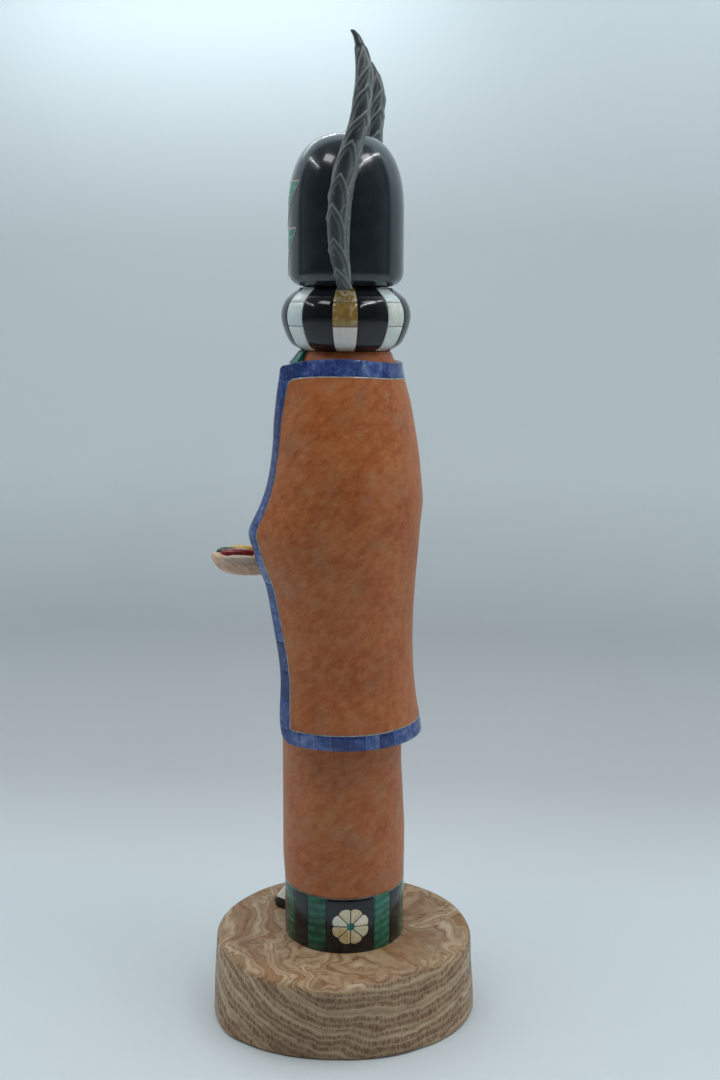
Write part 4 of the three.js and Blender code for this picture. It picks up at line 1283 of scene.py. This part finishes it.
def feather_relief(across, below, half_width, length, lift):
    """One feather's height in millimetres and how much of it is rim. Its half-width under the tip is
    w(s) = W (1 - (1 - s / 0.42)^1.7), its body rises as (1 - s)^0.7, and two ridges follow its edge."""
    run = np.clip(below / length, 0, 1)
    reach = half_width * (1 - (1 - np.clip(run / 0.42, 0, 1)) ** 1.7)
    from_rim = reach - np.abs(across)
    cover = np.clip(from_rim / rim_width, 0, 1) * (below > 0) * (below < length)
    rim = np.exp(-((from_rim - 1.5 * rim_width) / rim_width) ** 2)
    second = 0.45 * np.exp(-((from_rim - 5 * rim_width) / rim_width) ** 2)
    return cover * (lift * (1 - run) ** 0.7 + rim_height * (rim + second)), cover * (rim + second)


def wing_grid(side, steps=132, levels=300, shrink=0.96):
    """The horn is a stack of ovals x = out + T cos a, y = back + W sin a. Feathers lie in a row down the outer
    face and down the inner face, and in three rows down each broad side."""
    share = np.linspace(0, 1, levels)[:, None]
    out, back, thick, width = wing_form(share * tip_share)
    thick, width = thick * shrink, width * np.interp(share, slim_rows[0], slim_rows[1])
    turn = full_turn(steps)[None, :]
    height = share * wing_height
    relief = np.zeros((levels, steps + 1))
    # pale holds the painted highlight on the feather rims: how much of each point is rim
    pale = np.zeros_like(relief)

    def lay(across, tip_height, facing, half_width, lift):
        step, rim = feather_relief(across, tip_height - height, half_width, feather_length, lift)
        visible = np.clip(facing / 0.3, 0, 1)
        higher = step * visible > relief
        pale[higher] = (rim * visible)[higher]
        relief[higher] = (step * visible)[higher]

    for number, (tip, shift) in enumerate(feather_tips):
        tip_height = tip * wing_height
        fall = np.clip((tip_height - height) / feather_length, 0, 1)
        middle = (shift * (1 - fall) - 0.12 * fall) * wing_width
        tip_width = float(half_width_at(np.array([tip]))[0]) * wing_width
        half = min(feather_half_width, 1.05 * tip_width + 0.3)
        for face in (1, -1):
            lay(width * np.sin(turn) - middle, tip_height, face * np.cos(turn), half, 0.9)
        for column, lane in enumerate((-0.62, 0.0, 0.62)):
            staggered = tip_height - 3.5 * ((column + number) % 2)
            across = thick * np.cos(turn) - lane * thick - 1.5 * (1 - fall)
            for face in (1, -1):
                lay(across, staggered, face * np.sin(turn), 0.42 * thick + 0.3, 0.4)
    room = np.clip(width / 2.6, 0.15, 1)
    across_out, across_back = np.cos(turn) / thick, np.sin(turn) / width
    length = np.hypot(across_out, across_back)
    x = out + thick * np.cos(turn) + relief * room * across_out / length
    y = back + width * np.sin(turn) + relief * room * across_back / length
    # The rims' share becomes each point's tone, which the finish paints as a pale grey highlight
    tone = np.pad(np.clip(pale, 0, 1), ((1, 1), (0, 0)))
    return [capped(points_of(side * x, y, wing_bottom + height))], tone


def satin_jet_painted_rims():
    """Carved black stone, less polished than the helmet, with a painted pale grey highlight on its feather rims."""
    finish = Finish("carved_jet_painted_rims", specular_ior_level=0.5)
    cloud = finish.noise(3, detail=3.0)
    barbs = finish.noise(0.55, detail=2.0, at=finish.mapped(turn=(12, 0, 0), stretch=(1, 1, 0.12)))
    stone = finish.ramp(cloud, (0.35, (36, 41, 44)), (0.65, (54, 60, 64)))
    # Painted highlight: the tone lightens the feather rims to a pale grey
    stone = finish.mix(finish.tone() * 0.8, stone, (126, 132, 130))
    return finish.paint(stone, 0.3 + cloud * 0.12, barbs * 0.14 + cloud * 0.05, bump=0.35)


satin_jet_finish = satin_jet_painted_rims()
for side, turn in (("left", 1), ("right", -1)):
    make_piece(
        f"feathered_wing_{side}", [wing_grid(turn)], [f"wing_{side}"], "jet", satin_jet_finish, smooth_angle=60)

# %% [markdown]
# ## The hands and what lies in them
#
# The hands are cut from pink and cream banded shell, palms up and side by side, cupped a little. The bands follow
# the shell's growth, so they run in curves under the palm and along the fingers. Three small ears of corn lie
# in them, red, yellow and green. The fingers are shallow grooves carved into one tapering form, and the thumb is
# a slim form laid along the rim.

# %% Hands
hand_depth = 8.2
hand_width = 9.6
hand_reach = 49.0
wrist_reach = 20.8
hand_spread = 5.1
right_hand_back = 3.6
palm_height = cape_bottom + 58.6
# Each row: a share of the hand's length, then the half-width and the underside's height as shares of their measures
hand_rows = [
    (0, 0.36, 0.09), (0.135, 0.36, 0.09), (0.308, 0.43, 0.04), (0.498, 0.49, 0), (0.654, 0.5, 0.02),
    (0.784, 0.46, 0.1), (0.879, 0.38, 0.25), (0.948, 0.27, 0.46), (0.987, 0.15, 0.68), (1, 0.08, 0.78),
]
hand_half_at = through(hand_rows, 1)
hand_under_at = through(hand_rows, 2)


def hand_grid(side, levels=56, steps=64):
    """Ovals along the hand: widest a third below the rim, hollowed on top as a palm, with four finger grooves
    that deepen towards the tips."""
    share = np.linspace(0, 1, levels) ** 0.85
    half = (hand_half_at(share) * hand_width)[:, None]
    under = (hand_under_at(share) * hand_depth)[:, None]
    middle = hand_depth - 0.35 * (hand_depth - under)
    angle = full_turn(steps)
    across = np.sign(np.sin(angle)) * np.abs(np.sin(angle)) ** 0.75
    rise = -np.cos(angle)
    up = np.where(
        rise > 0, (hand_depth - middle) * rise.clip(0) ** 0.5, (under - middle) * (-rise).clip(0) ** 0.85)
    x = across * half
    length = share[:, None]
    palm = np.exp(-((length - 0.53) / 0.27) ** 4) * np.exp(-(across / 0.62) ** 4) * (rise > 0)
    up = up - 2.3 * palm
    finger = 0.28 * np.clip((length - 0.5) / 0.3, 0, 1) * np.cos(across * 4 * np.pi) ** 8
    up = up - finger * np.sign(rise) * (np.abs(rise) > 0.25)
    forward = wrist_reach + (hand_reach - wrist_reach) * length
    set_back = 0 if side > 0 else right_hand_back
    return [capped(points_of(
        side * hand_spread + x, set_back - forward + 0 * x, palm_height + middle + up))]


def spindle_grid(length, radius, place, turn, levels=20, steps=20):
    """A rod with round ends along -Y: radius r(s) = R (1 - |2s - 1|^3)^0.62."""
    share = (1 - np.cos(np.linspace(0, np.pi, levels))) / 2
    reach = radius * (1 - np.abs(2 * share - 1) ** 3).clip(0) ** 0.62
    angle = full_turn(steps)
    x = reach[:, None] * np.sin(angle)
    y = ((share - 0.5) * length)[:, None] + 0 * x
    z = -reach[:, None] * np.cos(angle)
    c, s = math.cos(math.radians(turn)), math.sin(math.radians(turn))
    return [capped(points_of(place[0] + c * x - s * y, place[1] + s * x + c * y, place[2] + z))]


print("hands reach", round(hand_reach - wrist_reach, 1), "mm out of the cape")

# %% [markdown]
# ### Banded shell
#
# The shell's bands lie at a slant to the hand, so the wave texture reads turned axes.

# %% Hands in shell


def banded_shell():
    """Cream fingertips turning pink and tan, with curved bands across the length. The thumb's tone is greyer."""
    finish = Finish("banded_shell", specular_ior_level=0.55, coat_weight=0.3, coat_roughness=0.1)
    arcs = finish.mapped(turn=(-34, 0, 0))
    band = finish.bands(2.2, 5.0, at=arcs)
    cloud = finish.noise(4, detail=3.0)
    fine = finish.noise(0.6, detail=2.0, at=finish.mapped(turn=(-34, 0, 0), stretch=(0.4, 0.4, 1)))
    shade = band * 0.07 + cloud * 0.72 + fine * 0.16
    shell = finish.ramp(
        shade, (0.34, (180, 138, 112)), (0.46, (196, 160, 134)), (0.58, (206, 176, 152)), (0.72, (214, 198, 178)))
    shell = finish.mix(finish.step(finish.tone(), 0.6, 0.9) * 0.6, shell, (158, 158, 142))
    return finish.paint(shell, 0.22 + fine * 0.1, fine * 0.05 + cloud * 0.06, bump=0.25)


banded_finish = banded_shell()
thumb_radius = 1.5
thumb_length = 13.7
thumb_reach = 37.5
thumb_turn = 4
for side, turn in (("left", 1), ("right", -1)):
    set_back = 0 if turn > 0 else right_hand_back
    thumb_place = (
        turn * (hand_spread + (hand_width - thumb_radius) / 2), set_back - thumb_reach,
        palm_height + hand_depth - thumb_radius)
    thumb = spindle_grid(thumb_length, thumb_radius, thumb_place, -turn * thumb_turn)
    make_piece(
        f"cupped_hand_{side}", [(hand_grid(turn), 0.5), (thumb, 1.0)],
        [f"hand_{side}"], "banded_shell", banded_finish)

# %% [markdown]
# ### Corn ears
#
# Each ear is a small rod of coloured stone with shallow rows of kernels, which a sum of two waves gives: one
# round the rod and one along it.

# %% Corn ears


def glossy_stone(name, deep, light, pale):
    """A small polished stone of one hue, cloudy and bright on its ridges."""
    finish = Finish(name, specular_ior_level=0.5, coat_weight=0.4, coat_roughness=0.08)
    cloud = finish.noise(1.6, detail=3.0)
    fine = finish.noise(0.5, detail=2.0)
    stone = finish.ramp(cloud * 0.7 + fine * 0.3, (0.35, deep), (0.55, light), (0.75, pale))
    return finish.paint(stone, 0.16 + fine * 0.12, fine * 0.06, bump=0.25)


def corn_ear(length, radius, place, turn):
    """A rod whose radius is r(s) times 1 + 0.05 cos(10 a) cos(34 s)."""
    rod = spindle_grid(length, radius, place, turn, levels=48, steps=60)[0]
    centre = rod.mean(axis=1, keepdims=True)
    angle = full_turn(60)
    row = np.linspace(0, 1, rod.shape[0])[:, None]
    kernel = 1 - 0.04 * (1 - np.cos(10 * angle)) * (1 - np.cos(34 * np.pi * row)) / 2
    return [centre + (rod - centre) * kernel[..., None]]


# Each row: node, slot, three hues, then length as a share, place across, place forwards, height over the palm's
# rim and turn in degrees
ear_rows = [
    ("ear_red", "coral", (92, 14, 12), (142, 30, 26), (176, 66, 58), 1.0, 5.7, 39.2, 0.05, 2),
    ("ear_yellow", "yellow_stone", (186, 150, 60), (212, 182, 92), (226, 208, 150), 1.02, -0.9, 38.5, 0.1, -2),
    ("ear_green", "malachite", (18, 52, 38), (34, 82, 58), (66, 112, 88), 0.72, 2.1, 43.3, -0.2, 6),
]
ear_length = 12.4
ear_radius = 1.85
palm_rim = palm_height + hand_depth
for node, slot, deep, light, pale, share, across, forward, over, turn in ear_rows:
    place = (across, -forward, palm_rim + over)
    make_piece(
        f"corn_{node}", [(corn_ear(ear_length * share, ear_radius, place, turn), 0.5)], [node], slot,
        glossy_stone(f"{node}_stone", deep, light, pale))

# %% [markdown]
# ## The boot
#
# One boot peeps out at the foot of the dress. It is a pale stone upper over a black sole, set against the band.

# %% Boot
boot_length = 12.5
boot_width = 8.6
boot_height = 7.6
sole_thickness = 1.6
toe_fullness = 1.2
boot_turn = -34


def boot_outline(shrink, steps=18):
    """Two straight sides and a rounded toe: half an ellipse at the end."""
    half = boot_width / 2 * shrink
    toe_length = toe_fullness * half
    toe_start = band_radius + boot_length * (1 + shrink) / 2 - toe_length
    turn = np.linspace(-np.pi / 2, np.pi / 2, steps)
    heel = band_radius - 1.5
    x = np.concatenate([[heel], toe_start + toe_length * np.cos(turn), [heel, heel]])
    y = np.concatenate([[-half], half * np.sin(turn), [half, -half]])
    return x, y


def boot_grid(rows):
    rings = []
    turn = math.radians(boot_turn - 90)
    for height, shrink in rows:
        x, y = boot_outline(shrink)
        rings.append(points_of(
            x * math.cos(turn) - y * math.sin(turn), x * math.sin(turn) + y * math.cos(turn), height))
    return [capped(np.array(rings))]


sole_top = base_height + sole_thickness + 0.3
boot_top = base_height + boot_height
rounding = np.linspace(0, 1, 14)
upper_rows = [
    (sole_top + (boot_top - sole_top) * rise, 0.93 - 0.62 * rise ** 1.25) for rise in rounding]
black_rows = 5
boot_shell = Finish("boot_shell", specular_ior_level=0.5)
boot_shell.paint(boot_shell.mix(boot_shell.step(boot_shell.tone(), 0.3, 0.6), (16, 18, 20), (214, 208, 192)))
make_piece(
    "boot_sole", [(boot_grid([(base_height, 0.95), (sole_top - 0.2, 1.0), (sole_top, 0.985)]), 0.5)],
    ["boot_sole_right"], "jet", jet_finish)
make_piece(
    "boot_upper", [(boot_grid(upper_rows[:black_rows]), 0.0), (boot_grid(upper_rows[black_rows - 1:]), 1.0)],
    ["boot_right"], "shell", boot_shell.material)

# %% [markdown]
# ## Floor, backdrop and light
#
# The object stands in a small box of white cloth with lights on top. The floor sweeps up into the back wall
# without a corner, and the wall is clear from behind, so that the object can be looked at from any side. The
# cloth carries painted light: it is darker a few centimetres above the floor and brightest high on the wall.

# %% Floor and backdrop
sweep_start = 0.1
sweep_radius = 0.1


def backdrop_grid():
    """A floor that runs level, then turns up through a quarter circle behind the object into a wall."""
    turn = np.linspace(0, np.pi / 2, 24)
    back = np.concatenate([[-1.6, -0.6], sweep_start + sweep_radius * np.sin(turn), [sweep_start + sweep_radius]])
    rise = np.concatenate([[0, 0], sweep_radius * (1 - np.cos(turn)), [1.4]])
    side = np.linspace(-2.8, 2.8, 15)
    return points_of(-back[:, None] + 0 * side, 0 * back[:, None] + side, rise[:, None] + 0 * side)


def cloth_with_painted_light():
    finish = Finish("white_cloth_painted_light", specular_ior_level=0.1)
    height = finish.node("ShaderNodeSeparateXYZ", None, {0: finish.place}, output=2) * millimetre
    weave = finish.noise(1.5, detail=2.0)
    # Painted light and shade: the white cloth's brightness changes with height, with its darkest band a few
    # centimetres above the floor and its brightest tone high on the wall
    shade = finish.ramp(
        height, (0.0, (210, 218, 222)), (0.03, (192, 199, 203)), (0.1, (194, 202, 206)),
        (0.18, (212, 222, 226)), (0.3, (202, 213, 217)), (0.45, (226, 241, 245)))
    finish.paint(shade, 0.8 + weave * 0.1, weave * 0.02, bump=0.1)
    return finish.clear_behind()


def stage_mesh(name, grids, finish, smooth):
    """A mesh in metres that belongs to the studio and not to the object."""
    points, faces = join_grids(grids)
    mesh = bpy.data.meshes.new(name)
    mesh.from_pydata(points.tolist(), [], faces.tolist())
    if smooth:
        mesh.shade_smooth()
    mesh.materials.append(finish)
    staged = bpy.data.objects.new(name, mesh)
    bpy.context.scene.collection.objects.link(staged)
    print(name, "has", len(faces), "faces")


stage_mesh("backdrop", [backdrop_grid()], cloth_with_painted_light(), smooth=True)

# %% [markdown]
# ### Lights
#
# Polished black stone shows the lights as reflections. The large soft lights are therefore hidden from
# reflections, and what the helmet mirrors is chosen apart from them: two small glows above the camera's side and
# rows of small lamps. The room's own light fades towards the camera, where the box is open.

# %% Lights


def soft_light(name, place, aim, width, height, power, colour=(1, 1, 1), mirrored=True):
    """A rectangle of light at a place, turned towards a point. Unless it is mirrored, polish doesn't show it."""
    light = bpy.data.lights.new(name, "AREA")
    light.shape = "RECTANGLE"
    light.size = width
    light.size_y = height
    light.energy = power
    light.color = colour
    lamp = bpy.data.objects.new(name, light)
    ahead = np.array(aim) - np.array(place)
    flat = math.hypot(ahead[0], ahead[1])
    lamp.rotation_euler = (math.atan2(flat, -ahead[2]), 0, math.atan2(-ahead[0], ahead[1]))
    lamp.location = place
    lamp.visible_glossy = mirrored
    bpy.context.scene.collection.objects.link(lamp)
    return lamp


middle = (0, 0, 0.17)
soft_light("front_wall", (0.0, -0.8, 0.35), middle, 0.9, 0.8, 2.05, (0.95, 0.98, 1.0), False)
soft_light("back_wall", (0.0, 0.8, 0.35), middle, 0.9, 0.8, 2.05, (0.95, 0.98, 1.0), False)
soft_light("ceiling", (0.15, 0, 0.95), middle, 0.7, 0.7, 3.05, (0.96, 0.99, 1.0), False)
soft_light("glow_front", (0.27, -0.28, 0.77), (0, 0, 0.31), 0.2, 0.12, 0.45)
soft_light("glow_back", (0.17, 0.35, 0.76), (0, 0, 0.31), 0.2, 0.12, 0.45)

# Each row of lamps: its two ends in metres. The first hangs close behind the object, above the picture's edge
lamp_ends = [
    ((-0.15, -0.19, 0.437), (-0.15, 0.03, 0.437)),
    ((-0.18, 0.45, 0.77), (0.64, 0.32, 0.77)),
    ((0.3, -0.62, 0.77), (-0.18, -0.62, 0.77)),
]
helmet_height = 0.31
lamp_pitch = 0.074
lamp_half = 0.015


def lamp_row(start, end):
    """Small level squares in a row. Their size and distance apart grow with their height over the helmet."""
    start, end = np.array(start), np.array(end)
    over = start[2] - helmet_height
    count = int(np.linalg.norm(end - start) / (lamp_pitch * over))
    squares = []
    for x, y, height in start + (end - start) * (np.arange(count) / count)[:, None]:
        across = np.array([[-1, 1]]) * lamp_half * over
        squares.append(points_of(x + across, y + across.T, height))
    return squares


lamp_rows = [lamp_row(*ends) for ends in lamp_ends]
lamp_finish = Finish("lamp", emission_color=(0.95, 0.98, 1.0, 1.0), emission_strength=90.0)
stage_mesh("lamp_frame", [square for row in lamp_rows for square in row], lamp_finish.material, smooth=False)


def room_world(bright, dark, strength):
    """Light from all around that fades to dark towards +X, where the box opens to the camera."""
    world = bpy.data.worlds.new("room")
    world.use_nodes = True
    nodes, links = world.node_tree.nodes, world.node_tree.links
    room = next(node for node in nodes if node.type == "BACKGROUND")
    direction = nodes.new("ShaderNodeTexCoord").outputs["Generated"]
    axes = nodes.new("ShaderNodeSeparateXYZ")
    fade = nodes.new("ShaderNodeMapRange")
    fade.interpolation_type = "SMOOTHSTEP"
    fade.inputs["From Min"].default_value = -0.6
    fade.inputs["From Max"].default_value = 0.6
    blend = nodes.new("ShaderNodeMix")
    blend.data_type = "RGBA"
    blend.inputs[6].default_value = bright
    blend.inputs[7].default_value = dark
    links.new(direction, axes.inputs[0])
    links.new(axes.outputs["X"], fade.inputs["Value"])
    links.new(fade.outputs[0], blend.inputs[0])
    links.new(blend.outputs[2], room.inputs["Color"])
    room.inputs["Strength"].default_value = strength
    return world


bpy.context.scene.world = room_world((0.62, 0.68, 0.72, 1), (0.09, 0.1, 0.11, 1), 0.51)
bpy.context.scene.view_settings.view_transform = "Standard"
